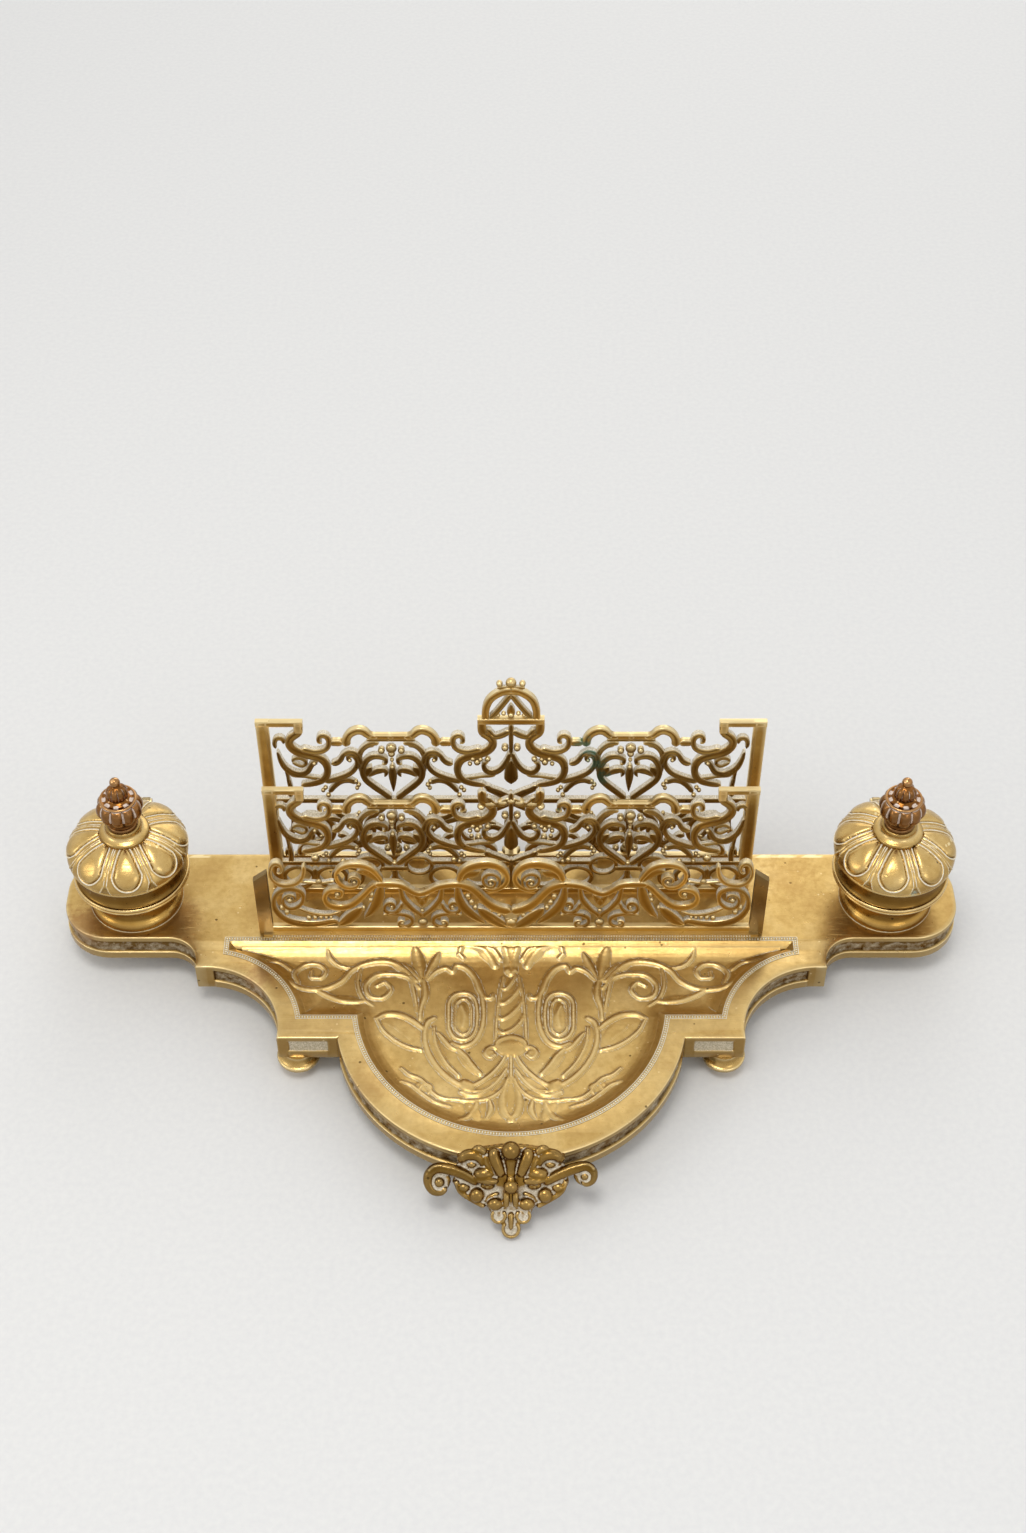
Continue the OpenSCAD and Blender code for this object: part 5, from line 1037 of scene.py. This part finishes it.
# Outside of a well from the plate up: [radius, height, residue, painted shade]: painted shade in the waist, the groove
# between the threads and the neck under the lid, and negative values that keep the threads and the base's edge lit
wellOutside = [
    [19.75, 0.0, 1.0, 0], [19.8, 0.25, 0.9, 0], [19.5, 0.5, 0.3, 0.6], [19.65, 0.9, 0, 0.1], [19.65, 1.6, 0, 0], [19.4, 2.5, 0, 0], [18.9, 3.3, 0, 0], [18.4, 3.8, 0, -0.5], [17.9, 4.3, 0, -0.3],
    [17.5, 5.2, 0, 0.1], [17.25, 7.0, 0, 0.2], [17.4, 9.4, 0, 0.3], [18.0, 11.8, 0, 0.2], [19.3, 13.9, 0, 0.25], [21.0, 15.4, 0, 0.35], [22.8, 16.4, 0, 0.3], [23.6, 16.8, 0, 0],
    [24.1, 17.1, 0, -0.8], [24.4, 17.6, 0, -0.9], [24.25, 18.1, 0, -0.8], [23.9, 18.3, 0.3, 0.6], [23.9, 18.5, 0.3, 0.6], [24.2, 18.7, 0, -0.8], [24.3, 19.1, 0, -0.9], [24.1, 19.6, 0, -0.8],
    [23.6, 19.8, 0, 0.2], [23.1, 19.8, 0.1, 0.7], [22.5, 20.3, 0, 0.6], [21.9, 21.3, 0, 0.5], [21.4, 23.0, 0, 0.45], [21.2, 25.2, 0, 0.45], [21.4, 27.2, 0, 0.4], [21.9, 28.8, 0, 0.2],
    [22.1, 29.1, 0, 0], [22.0, 29.3, 0, 0],
]
wellInside = [[19.9, 29.3], [19.8, 29.2], [19.8, 26.6], [15.4, 26.6], [15.3, 26.5], [15.3, 5.2], [14.6, 4.6], [0, 4.6]]


def wellShape(side):
    # Turned body: a spreading base, a waist, a double-threaded ring and a neck under the lid, bored for its liner
    w = well
    centre = (side * w["x"], w["f"])
    top = place["topZ"]
    line = smoothLine(wellOutside, 0.3)[0]
    profile = np.concatenate([[[0, 0]], line[:, :2], wellInside])
    pad = lambda values: np.concatenate([[0], values, np.zeros(len(wellInside))])
    body = lathe(profile + [0, top], w["turns"], centre, residue=pad(np.clip(line[:, 2], 0, 1)), dark=pad(np.clip(line[:, 3], -1, 1)))
    shells = [body]
    # Hinge ears: an arm out of the neck that ends in the pin's eye
    back, r = w["hingeBack"], w["knuckleR"]
    eye = [[back + r * math.sin(a), w["rimZ"] + r * math.cos(a)] for a in np.linspace(math.pi / 2, -math.pi / 2, 17)]
    ear = np.array([[20.3, top + 23.7], [back + r - 0.5, top + 23.7], [back + r, top + 24.2], *eye, [back - r, top + 27.3], [20.3, top + 27.3]])
    for way in (-1, 1):
        rows = [np.column_stack([np.full(len(ear), centre[0] + way * w["earX"] + x), w["f"] - ear[:, 0], ear[:, 1]]) for x in (-w["earW"] / 2, w["earW"] / 2)]
        n = len(ear)
        # each ear is darkened by painted shade
        shells.append(part(np.concatenate(rows), ringFaces(2, n).tolist() + [list(range(n))[::-1], list(range(n, 2 * n))], 0.0, 0.6))
    name = "left" if side < 0 else "right"
    return putMesh(name + "Well", shells, "stand", bodyBrass, [name + "_well"], sharp=50)
# A lobe's round end has its middle endUp mm up the dome from the lip; turn is the front lobe's angle, left and right
lid = {"lobes": 8, "turns": 360, "endUp": 8.6, "endR": 5.3, "neck": 0.8, "turn": {-1: 8.0, 1: -10.0}}


def lidShape(side):
    # Domed cover: eight pillow-like lobes run from a narrow end at the boss to a round end near the rim. A raised
    # thread goes round each, and between two lobes a pair of threads runs down and parts round a dart at the rim
    L = lid
    centre = (side * well["x"], well["f"])
    base = well["rimZ"]
    dome = smoothLine([[24.6, 1.4], [25.1, 2.0], [25.2, 2.9], [24.7, 4.7], [23.3, 6.8], [21.2, 8.9], [18.3, 10.9], [15.0, 12.4], [11.8, 13.3], [10.2, 13.5]], 0.25)[0]
    up = np.concatenate([[0], np.cumsum(np.linalg.norm(np.diff(dome, axis=0), axis=1))])[:, None]
    r = dome[:, :1]
    angle = np.linspace(0, 2 * math.pi, L["turns"], endpoint=False)
    pitch = 2 * math.pi / L["lobes"]
    off = (angle - math.radians(L["turn"][side]) + pitch / 2) % pitch - pitch / 2
    swing = np.abs(off)[None, :] * r  # mm sideways from a lobe's middle line
    half = L["neck"] + (L["endR"] - L["neck"]) * np.clip((up[-1] - up) / (up[-1] - L["endUp"]), 0, 1) ** 0.85
    away = np.where(up >= L["endUp"], swing - half, np.hypot(swing, L["endUp"] - up) - L["endR"])
    gap = pitch / 2 * r - swing  # mm from the middle line between two lobes
    parting = 0.42 + 0.06 * np.clip(9.0 - up, 0, 5) + 0.45 * np.clip(4.6 - up, 0, 4)
    inside = np.clip(-away / 3.0, 0, 1)
    pillow = 0.95 * np.sqrt(1 - (1 - inside) ** 2)
    thread = np.exp(-((away - 0.9) / 0.37) ** 2)
    pair = np.exp(-((gap - parting) / 0.3) ** 2) * (away > 1.4)
    dart = np.clip((parting - 0.4 - gap) / 0.3, 0, 1) * np.clip((4.0 - up) / 0.6, 0, 1)
    ends = np.clip(up / 0.8, 0, 1) * np.clip((up[-1] - up) / 0.5, 0, 1)
    bulge = (pillow + 0.42 * thread + 0.3 * pair - 0.5 * dart - 0.12 * (np.abs(away - 0.3) < 0.3)) * ends
    way = np.gradient(dome, axis=0)
    way /= np.linalg.norm(way, axis=1, keepdims=True)
    out = np.stack([way[:, 1], -way[:, 0]], 1)
    # residue whitens the threads and the pairs, partly as polish residue and partly as a painted highlight along the
    # raised threads; the darts carry painted shade
    residue = np.clip(0.85 * thread + 0.62 * pair + 0.3 * dart, 0, 0.9) * ends
    skin = lathe(np.column_stack([dome[:, 0], dome[:, 1] + base]), L["turns"], centre, out[:, :1] * bulge, out[:, 1:] * bulge, residue, 0.35 * dart)
    # Lip, stepped boss, and the underside of the shell, which carries painted shade
    lip = [[22.3, 0.0], [24.3, 0.0], [24.7, 0.15], [24.9, 0.5], [24.95, 0.8], [24.9, 1.1], [24.6, 1.4]]
    boss = [[10.2, 13.4], [10.4, 13.7], [10.4, 14.1], [10.1, 14.6], [9.6, 14.95], [8.9, 15.2], [8.2, 15.6], [7.8, 16.0], [7.5, 16.6], [7.4, 17.4], [7.4, 18.1], [7.1, 18.5], [6.7, 18.7], [2.1, 18.7]]
    under = [[2.1, 18.7], [2.1, 11.4], [8.5, 11.4], [11.6, 11.1], [15.0, 10.4], [18.6, 8.4], [21.3, 5.9], [22.5, 3.8], [22.6, 2.4], [22.5, 1.2], [22.3, 0.0]]
    lift = lambda rows: np.array(rows) + [0, base]
    shells = [skin, lathe(lift(lip), L["turns"], centre), lathe(lift(boss), 120, centre, residue=np.array([0.5] + [0.0] * (len(boss) - 1))), lathe(lift(under), 120, centre, dark=0.5)]
    # Hinge leaf and knuckle behind
    back, r, w = well["hingeBack"], well["knuckleR"], well["knuckleW"]
    a = np.linspace(0, 2 * math.pi, 32, endpoint=False)
    rows = []
    for x, rr in ((-w / 2, 1.05), (-w / 2, r - 0.3), (-w / 2 + 0.3, r), (w / 2 - 0.3, r), (w / 2, r - 0.3), (w / 2, 1.05)):
        rows.append(np.column_stack([np.full(32, centre[0] + x), centre[1] - back + rr * np.cos(a), base + rr * np.sin(a)]))
    shells.append(part(np.concatenate(rows), ringFaces(6, 32, True)))
    leaf = np.array([[-back - 0.6, 1.9], [-back + 0.8, 2.1], [-25.4, 2.3], [-24.2, 2.6], [-23.6, 1.6], [-24.3, 0.3], [-back + 1.9, 0.2]])
    rows = [np.column_stack([np.full(7, centre[0] + x), centre[1] + leaf[:, 0], base + leaf[:, 1]]) for x in (-w / 2, w / 2)]
    shells.append(part(np.concatenate(rows), ringFaces(2, 7).tolist() + [list(range(7))[::-1], list(range(7, 14))]))
    name = ("left" if side < 0 else "right")
    return putMesh(name + "Lid", shells, name + "_lid", lidBrass, [name + "_lid"], sharp=50)


finial = {"baseZ": 72.5, "lobes": 10, "budLobes": 8, "turns": 160, "ballZ": 24.2, "ballR": 2.2}


def finialShape(side):
    # Turned bud with its flutes: the radius dips between lobes as |cos|, deepest at the bulb's widest line
    F = finial
    centre = (side * well["x"], well["f"])
    rows = np.array([
        [6.2, -0.05, 0], [6.4, 0.2, 0], [6.5, 0.6, 0], [6.2, 1.2, 0], [5.4, 1.7, 0], [5.2, 2.6, 0], [5.8, 3.5, 0.1], [7.9, 5.3, 0.5], [9.3, 7.5, 0.9], [9.7, 9.7, 1], [9.2, 12.0, 0.9],
        [8.1, 13.5, 0.6], [7.3, 13.9, 0.1], [7.2, 14.1, 0], [7.6, 14.4, 0], [7.7, 14.8, 0], [7.4, 15.2, 0], [6.8, 15.3, 0], [6.3, 15.1, 0], [5.6, 15.1, 0], [4.8, 15.6, 0], [4.1, 16.2, 0.3], [4.5, 17.5, 0.8],
        [4.5, 19.1, 1], [3.7, 20.8, 0.8], [2.5, 21.8, 0.3], [1.6, 22.3, 0], [1.3, 22.8, 0], [0.0, 22.9, 0],
    ])
    line = smoothLine(rows, 0.28)[0]
    h = line[:, 1][:, None]
    angle = np.linspace(0, 2 * math.pi, F["turns"], endpoint=False)
    low = h < 14.2
    wave = np.where(low, np.abs(np.cos(angle * F["lobes"] / 2)), np.abs(np.cos(angle * F["budLobes"] / 2 + 0.4)))
    dip = -np.where(low, 1.7, 0.9) * line[:, 2:3] * (1 - wave ** 0.6)
    flute = np.clip(1.25 - wave / 0.34, 0, 1) * np.clip(line[:, 2:3] * 2, 0, 1) * np.where(low, np.clip((h - 6.5) / 2, 0, 1) * np.clip((13.9 - h) / 0.8, 0, 1), 0.5)
    collar = np.exp(-((h - 15.2) / 0.35) ** 2) * (line[:, :1] < 6.6) * (0.62 + 0.38 * np.cos(angle * 9))
    ring = 0.95 * np.exp(-((h - 14.0) / 0.26) ** 2) * (line[:, :1] < 7.7)
    residue = np.clip(flute * 0.95 + collar + ring, 0, 0.95)
    # painted shade on the bud's foot and lower bulb, fading out by 5.5 mm up
    body = lathe(np.column_stack([line[:, 0], line[:, 1] + F["baseZ"]]), F["turns"], centre, dip, None, residue, np.clip((5.5 - h) / 4, 0, 0.5))
    foot = lathe([[2.0, F["baseZ"] - 0.05], [6.2, F["baseZ"] - 0.05]], F["turns"], centre)
    stud = lathe([[0, F["baseZ"] - 11.3], [1.6, F["baseZ"] - 11.3], [2.0, F["baseZ"] - 10.9], [2.0, F["baseZ"] - 0.05]], F["turns"], centre)
    ball = bulb((*centre, F["baseZ"] + F["ballZ"]), (F["ballR"],) * 3, 28, 18)
    name = "left" if side < 0 else "right"
    return putMesh(name + "Finial", [body, foot, stud, ball], name + "_lid", copperBronze, [name + "_finial"], sharp=60)


for side in (-1, 1):
    wellShape(side)
    lidShape(side)
    finialShape(side)
print("wells, lids and finials made")


# ---- mask mount

mask = {"f": 150.0, "z": 26.5, "tilt": 45.0, "voxel": 0.00036}


def onSlope(points):
    # (x across, s down the slope, h out of it) to (x, f, z)
    m = mask
    points = np.asarray(points, float)
    c, s = math.cos(math.radians(m["tilt"])), math.sin(math.radians(m["tilt"]))
    return np.stack([points[:, 0], m["f"] + points[:, 1] * c + points[:, 2] * s, m["z"] - points[:, 1] * s + points[:, 2] * c], 1)


def knob(x, s, h, rx, rs, rh, turns=20):
    item = bulb((0, 0, 0), (1, 1, 1), turns, 14)
    local = item["points"] * [rx, rs, rh] + [x, s, h]
    return part(onSlope(local), item["faces"])


def cord(line, sink=0.0, step=0.6):
    # Round bar along a line of [x, s, h, radius], with rounded ends
    path, run = smoothLine(line, step)
    way = np.gradient(path[:, :3], axis=0)
    way /= np.maximum(np.linalg.norm(way, axis=1, keepdims=True), 1e-9)
    side = np.cross(way, [0, 0, 1.0])
    side /= np.maximum(np.linalg.norm(side, axis=1, keepdims=True), 1e-9)
    up = np.cross(side, way)
    near = np.minimum(run, run[-1] - run) / np.maximum(path[:, 3], 0.2)
    r = path[:, 3] * np.sqrt(1 - (1 - np.clip(near, 0.03, 1)) ** 2)
    a = np.linspace(0, 2 * math.pi, 16, endpoint=False)
    ring = path[:, None, :3] + r[:, None, None] * (np.cos(a)[None, :, None] * side[:, None] + np.sin(a)[None, :, None] * up[:, None])
    count = len(path)
    faces = ringFaces(count, 16).tolist() + [list(range(16))[::-1], [(count - 1) * 16 + i for i in range(16)]]
    return part(onSlope(ring.reshape(-1, 3)), faces)


def shield(outline, low, high):
    # Flat body of the mount with a sloping edge
    outline = np.asarray(outline, float)
    centre = outline.mean(0)
    inner = centre + (outline - centre) * 0.93
    rows = [(inner, low), (outline, low + 0.6), (outline, high - 0.9), (inner, high)]
    points = np.concatenate([np.column_stack([ring, np.full(len(ring), h)]) for ring, h in rows])
    n = len(outline)
    return part(onSlope(points), ringFaces(4, n).tolist() + [list(range(n))[::-1], [3 * n + i for i in range(n)]])


# Forms on the slope: knobs are [x, s, h, half width, half length, half height], cords run through [x, s, h, radius]
maskForms = {
    "middleKnobs": [[0, 1.6, 4.2, 3.8, 3.8, 3.5], [0, 15.5, 4.0, 3.1, 2.9, 3.0], [0, 12.9, 3.2, 1.9, 2.2, 2.4], [0, 32.5, 0.1, 3.7, 3.8, 1.3]],
    "middleCords": [
        [[0, 2.4, 3.0, 3.2], [0, 5.6, 3.0, 2.7], [0, 9, 2.8, 2.1], [0, 12.6, 2.8, 1.7]],
        [[-1.7, 17.4, 2.9, 1.2], [-1.8, 20.4, 2.9, 1.45], [-1.9, 24.2, 2.2, 1.2]], [[1.7, 17.4, 2.9, 1.2], [1.8, 20.4, 2.9, 1.45], [1.9, 24.2, 2.2, 1.2]],
        [[0, 26, 1.4, 1.0], [0, 29.4, 1.6, 1.1], [0, 33, 1.5, 0.9]],
    ],
    "sideKnobs": [
        [10.2, 11.0, 1.8, 4.4, 3.0, 3.2], [9.0, 15.8, 1.2, 2.7, 1.7, 1.4], [9.1, 15.9, 2.1, 1.0, 0.9, 0.9], [6.1, 22.7, 2.0, 3.2, 2.7, 2.7],
        [13.1, 19.4, 1.5, 3.0, 3.0, 2.5], [18.4, 16.6, 1.0, 2.6, 2.0, 1.7], [19.2, 5.2, 1.2, 1.7, 2.0, 2.0], [4.8, 27.5, 0.4, 3.0, 2.9, 1.4], [15.2, 7.6, 0.9, 2.2, 1.6, 1.6],
    ],
    "sideCords": [
        [[6.8, 0.6, 2.6, 2.2], [6.3, 4.2, 3.2, 2.6], [4.8, 8.4, 3.2, 2.3], [3.2, 12.2, 2.8, 1.7]],
        [[10.4, 3.4, 2.0, 1.7], [8.8, 6.6, 2.4, 2.0], [7.0, 10, 2.3, 1.7], [5.6, 12.6, 2.0, 1.2]],
        [[15, 1.8, 2.2, 1.1], [12.2, 1.2, 2.8, 1.7], [9.4, 3.2, 2.5, 1.4]],
        [[19.2, 6.6, 1.4, 1.6], [17.6, 3.9, 2.0, 2.2], [13.8, 3.6, 2.2, 2.3], [11.4, 5.6, 2.0, 1.9], [10.4, 8.4, 1.8, 1.3]],
        [[4.6, 13.8, 2.6, 1.3], [9.4, 13.4, 3.4, 1.7], [14.4, 13.0, 1.8, 1.2]],
        [[4.6, 18.6, 1.4, 0.8], [8, 20, 1.6, 0.9], [10.2, 22.2, 1.2, 0.8]],
        [[21.4, 13.6, 0.9, 1.1], [19.6, 18, 1.0, 1.2], [15.4, 21.2, 0.9, 1.1], [10, 24.2, 0.9, 1.0]],
    ],
    "arms": [
        ([[-12.4, 15.0, 1.2, 1.8], [-14.8, 13.2, 1.4, 2.1], [-18.4, 11.2, 1.4, 2.3], [-23.4, 9.5, 1.2, 2.3], [-28.4, 9.0, 1.0, 2.2], [-31.5, 11.2, 0.9, 2.1], [-32.0, 14.6, 0.8, 2.0],
          [-30.2, 17.8, 0.8, 1.8], [-27.0, 18.4, 0.8, 1.5], [-24.9, 16.4, 0.8, 1.2]], (-27.8, 14.6, 0.8, 2.2, 2.2, 2.1)),
        ([[12.4, 15.0, 1.2, 1.8], [15.6, 12.9, 1.4, 2.1], [19.6, 10.9, 1.4, 2.3], [24.8, 9.0, 1.2, 2.3], [29.2, 8.4, 1.0, 2.1], [31.8, 10.6, 0.9, 1.9], [31.5, 13.6, 0.8, 1.7],
          [29.2, 15.1, 0.8, 1.4], [27.2, 14.0, 0.8, 1.0]], (28.7, 12.2, 0.8, 1.9, 1.9, 1.9)),
    ],
    # chalky places: x, s, radius, strength
    "pale": [[-28, 14.4, 4.6, 0.7], [28.6, 12, 3.8, 0.7], [-14.4, 7.8, 3.4, 0.6], [14.4, 7.8, 3.4, 0.6], [-5, 18.4, 2.8, 0.6], [5, 18.4, 2.8, 0.6], [-9.6, 19.6, 2.6, 0.6], [9.6, 19.6, 2.6, 0.6],
             [-17, 13.4, 3.4, 0.5], [17, 13.4, 3.4, 0.5], [-4.8, 27.6, 2.6, 0.7], [4.8, 27.6, 2.6, 0.7], [0, 32.6, 3.0, 0.7], [0, 24.8, 1.8, 0.5], [-4.4, 1.8, 1.4, 0.5], [4.4, 1.8, 1.4, 0.5]],
}


def maskMount():
    # A leafy grotesque on a shield: crown ball and tongues, brows, nose, cheeks, side scrolls and a three-lobed foot
    outline = smoothLine([[-20, 3.4], [-20.6, 8], [-22, 12], [-22.4, 15.4], [-19.4, 18.4], [-15.2, 21], [-9.4, 24.2], [-7.6, 27], [-4, 29.6], [0, 30.4],
                          [4, 29.6], [7.6, 27], [9.4, 24.2], [15.2, 21], [19.4, 18.4], [22.4, 15.4], [22, 12], [20.6, 8], [20, 3.4], [12, 1.2], [0, 0], [-12, 1.2], [-20, 3.4]], 1.2)[0][:-1]
    shells = [shield(outline, -3.6, 1.0)]
    shells += [knob(*form) for form in maskForms["middleKnobs"]] + [cord(line) for line in maskForms["middleCords"]]
    for side in (-1, 1):
        shells += [knob(side * x, *rest) for x, *rest in maskForms["sideKnobs"]]
        shells += [cord([[side * x, *rest] for x, *rest in line]) for line in maskForms["sideCords"]]
    for arm, eye in maskForms["arms"]:
        rim = [[x * 1.02, s - 1.0, h + 1.5, 0.75] for x, s, h, r in arm[:6]]
        shells += [cord(arm), cord(rim), knob(*eye), knob(eye[0], eye[1] - 0.4, -0.6, 4.6, 4.6, 1.4)]
    # Raised rims of the foot's three shells
    for x, s, r in ((-4.8, 27.6, 2.5), (4.8, 27.6, 2.5), (0, 32.7, 3.1)):
        shells.append(cord([[x + r * math.sin(t), s + r * math.cos(t), 1.5, 0.75] for t in np.linspace(-2.4, 2.4, 11)]))
    # Seat block in the plate's corner
    shells.append(part(np.array([[x, f, z] for z in (19.4, 24.42) for x, f in ((-20.9, 149.3), (20.9, 149.3), (20.9, 155.4), (-20.9, 155.4))]),
                       ringFaces(2, 4).tolist() + [[3, 2, 1, 0], [4, 5, 6, 7]]))
    rough = putMesh("maskRough", shells, "stand", maskBrass)
    melt = rough.modifiers.new("melt", "REMESH")
    melt.mode = "VOXEL"
    melt.voxel_size = mask["voxel"]
    melt.use_smooth_shade = True
    ease = rough.modifiers.new("ease", "SMOOTH")
    ease.factor = 0.5
    ease.iterations = 5
    graph = bpy.context.evaluated_depsgraph_get()
    mesh = bpy.data.meshes.new_from_object(rough.evaluated_get(graph))
    bpy.data.objects.remove(rough)
    mesh.name = "maskMount"
    co = np.empty(len(mesh.vertices) * 3)
    mesh.vertices.foreach_get("co", co)
    co = co.reshape(-1, 3) * 1000
    rise, ahead = co[:, 2] - mask["z"], place["midF"] - co[:, 1] - mask["f"]
    down, out = (ahead - rise) / math.sqrt(2), (ahead + rise) / math.sqrt(2)
    pale = np.zeros(len(co))
    for x, s, r, strength in maskForms["pale"]:
        pale = np.maximum(pale, strength * np.clip(1.6 - np.hypot(co[:, 0] - x, down - s) / r, 0, 1) * np.clip((3.4 - out) / 1.6, 0, 1))
    for key, value in (("residue", pale), ("dark", 0 * pale)):
        if key not in mesh.attributes:
            mesh.attributes.new(key, "FLOAT", "POINT")
        mesh.attributes[key].data.foreach_set("value", value.astype(np.float32))
    addCavity(mesh, 7.0)
    piece = bpy.data.objects.new("maskMount", mesh)
    bpy.context.scene.collection.objects.link(piece)
    mesh.materials.clear()
    mesh.materials.append(maskBrass)
    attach(piece, "stand")
    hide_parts("mask_mount")
    print("mask mount made,", len(mesh.polygons), "faces")


maskMount()


# ---- feet

foot = {"height": 11.0, "r": 8.9, "neckR": 6.2, "pegR": 4.9, "bore": 3.3, "boreTop": 2.6, "turns": 96}


def footShape(name, x, f):
    # Turned foot: a flared cup over a round peg, hollow underneath for its screw
    F = foot
    profile = [[0, F["boreTop"]], [F["bore"] - 0.2, F["boreTop"]], [F["bore"], F["boreTop"] - 0.2], [F["bore"], 0.2], [F["bore"] + 0.2, 0], [F["pegR"] - 0.4, 0], [F["pegR"], 0.4],
               [F["pegR"], 2.6], [F["pegR"] + 0.3, 3.1], [6.9, 3.7], [8.0, 4.4], [8.7, 5.3], [F["r"], 6.2], [8.85, 6.7], [8.5, 7.1], [8.1, 7.2], [7.6, 7.5], [7.0, 8.2], [6.6, 9.1], [6.35, 10.0], [F["neckR"], F["height"] - 0.02], [0, F["height"] - 0.02]]
    return putMesh(name, [lathe(profile, F["turns"], (x, f))], "stand", footBrass, [name], sharp=50)


for name, x, f in (("front_left_foot", -(blockOut - 7.5), blockF - 5.2), ("front_right_foot", blockOut - 7.5, blockF - 5.2),
                   ("rear_left_foot", -(halfW - 16.0), 24.2), ("rear_right_foot", halfW - 16.0, 24.2)):
    footShape(name, x, f)


# ---- finishes of the pieces that keep their CAD shape

finishes = {
    "well": bodyBrass, "foot": footBrass, "hinge_pin": bodyBrass, "liner": linerGlass, "nut": screwSteel, "screws": screwSteel,
}
for name, node in nodes.items():
    for key, finish in finishes.items():
        if key in name and "screws" not in name or key == "screws" and "screws" in name:
            node.data.materials.clear()
            node.data.materials.append(finish)


# ---- floor, light and camera

def flatSheet(name, corners, finish):
    mesh = bpy.data.meshes.new(name)
    mesh.from_pydata(corners, [], [[0, 1, 2, 3]])
    sheet = bpy.data.objects.new(name, mesh)
    bpy.context.scene.collection.objects.link(sheet)
    mesh.materials.append(finish)


def floorFinish():
    # Pale matt paper sweep; seen straight or in the metal it is near white, and it keeps the object's shadow
    finish, tree = newFinish("pale matt paper")
    spot = put(tree, "ShaderNodeTexCoord").outputs["Object"]
    fibre = put(tree, "ShaderNodeTexNoise", {"Scale": 400.0, "Detail": 3.0}, {"Vector": spot}).outputs["Fac"]
    colour = ramp(tree, fibre, [(0.3, "#d8d8d8"), (0.7, "#dddddc")])
    shader = put(tree, "ShaderNodeBsdfPrincipled", {"Roughness": 0.85}, {"Base Color": colour})
    put(tree, "ShaderNodeOutputMaterial", links={"Surface": shader.outputs[0]})
    return finish


flatSheet("floor", [(-6, -6, 0), (6, -6, 0), (6, 6, 0), (-6, 6, 0)], floorFinish())

world = bpy.data.worlds.new("studio")
bpy.context.scene.world = world
world.use_nodes = True
tree = world.node_tree
tree.nodes.clear()
rays = put(tree, "ShaderNodeLightPath")
seen = maths(tree, "MAXIMUM", rays.outputs["Is Camera Ray"], maths(tree, "MAXIMUM", rays.outputs["Is Glossy Ray"], rays.outputs["Is Transmission Ray"]))
skyColour = mixColour(tree, seen, "#f0f0f0", "#f5f5f5")
strength = maths(tree, "ADD", maths(tree, "MULTIPLY", seen, 0.17), 0.9)
sky = put(tree, "ShaderNodeBackground", links={"Color": skyColour, "Strength": strength})
put(tree, "ShaderNodeOutputWorld", links={"Surface": sky.outputs[0]})

lamps = {
    "overhead": {"at": (-0.12, -0.22, 1.25), "size": 0.45, "power": 4.5, "colour": "#fffdf8"},
    "front fill": {"at": (0.75, -1.0, 0.9), "size": 0.6, "power": 1.5, "colour": "#f8faff"},
    "left side": {"at": (-1.1, -0.35, 0.7), "size": 0.5, "power": 1.5, "colour": "#fffbf4"},
    "back": {"at": (0.25, 1.5, 0.85), "size": 1.3, "power": 4.2, "colour": "#fffdf8"},
}
for name, lampValues in lamps.items():
    data = bpy.data.lights.new(name, "AREA")
    data.shape = "DISK"
    data.size = lampValues["size"]
    data.energy = lampValues["power"]
    data.color = toLinear(lampValues["colour"])[:3]
    lamp = bpy.data.objects.new(name, data)
    bpy.context.scene.collection.objects.link(lamp)
    lamp.location = lampValues["at"]
    aim = np.array([0.0, 0.0, 0.03]) - np.array(lampValues["at"])
    lamp.rotation_euler = (math.acos(-aim[2] / np.linalg.norm(aim)), 0, math.atan2(aim[1], aim[0]) - math.pi / 2)

cameraValues = {"at": (0.0008, -0.5258, 0.7355), "tilt": 43.0, "lens": 50.49}
data = bpy.data.cameras.new("camera")
data.lens = cameraValues["lens"]
data.sensor_width = 36.0
data.clip_start = 0.01
camera = bpy.data.objects.new("camera", data)
bpy.context.scene.collection.objects.link(camera)
camera.location = cameraValues["at"]
camera.rotation_euler = (math.radians(cameraValues["tilt"]), 0, 0)
bpy.context.scene.camera = camera
bpy.context.scene.view_settings.view_transform = "Standard"
print("stage set")
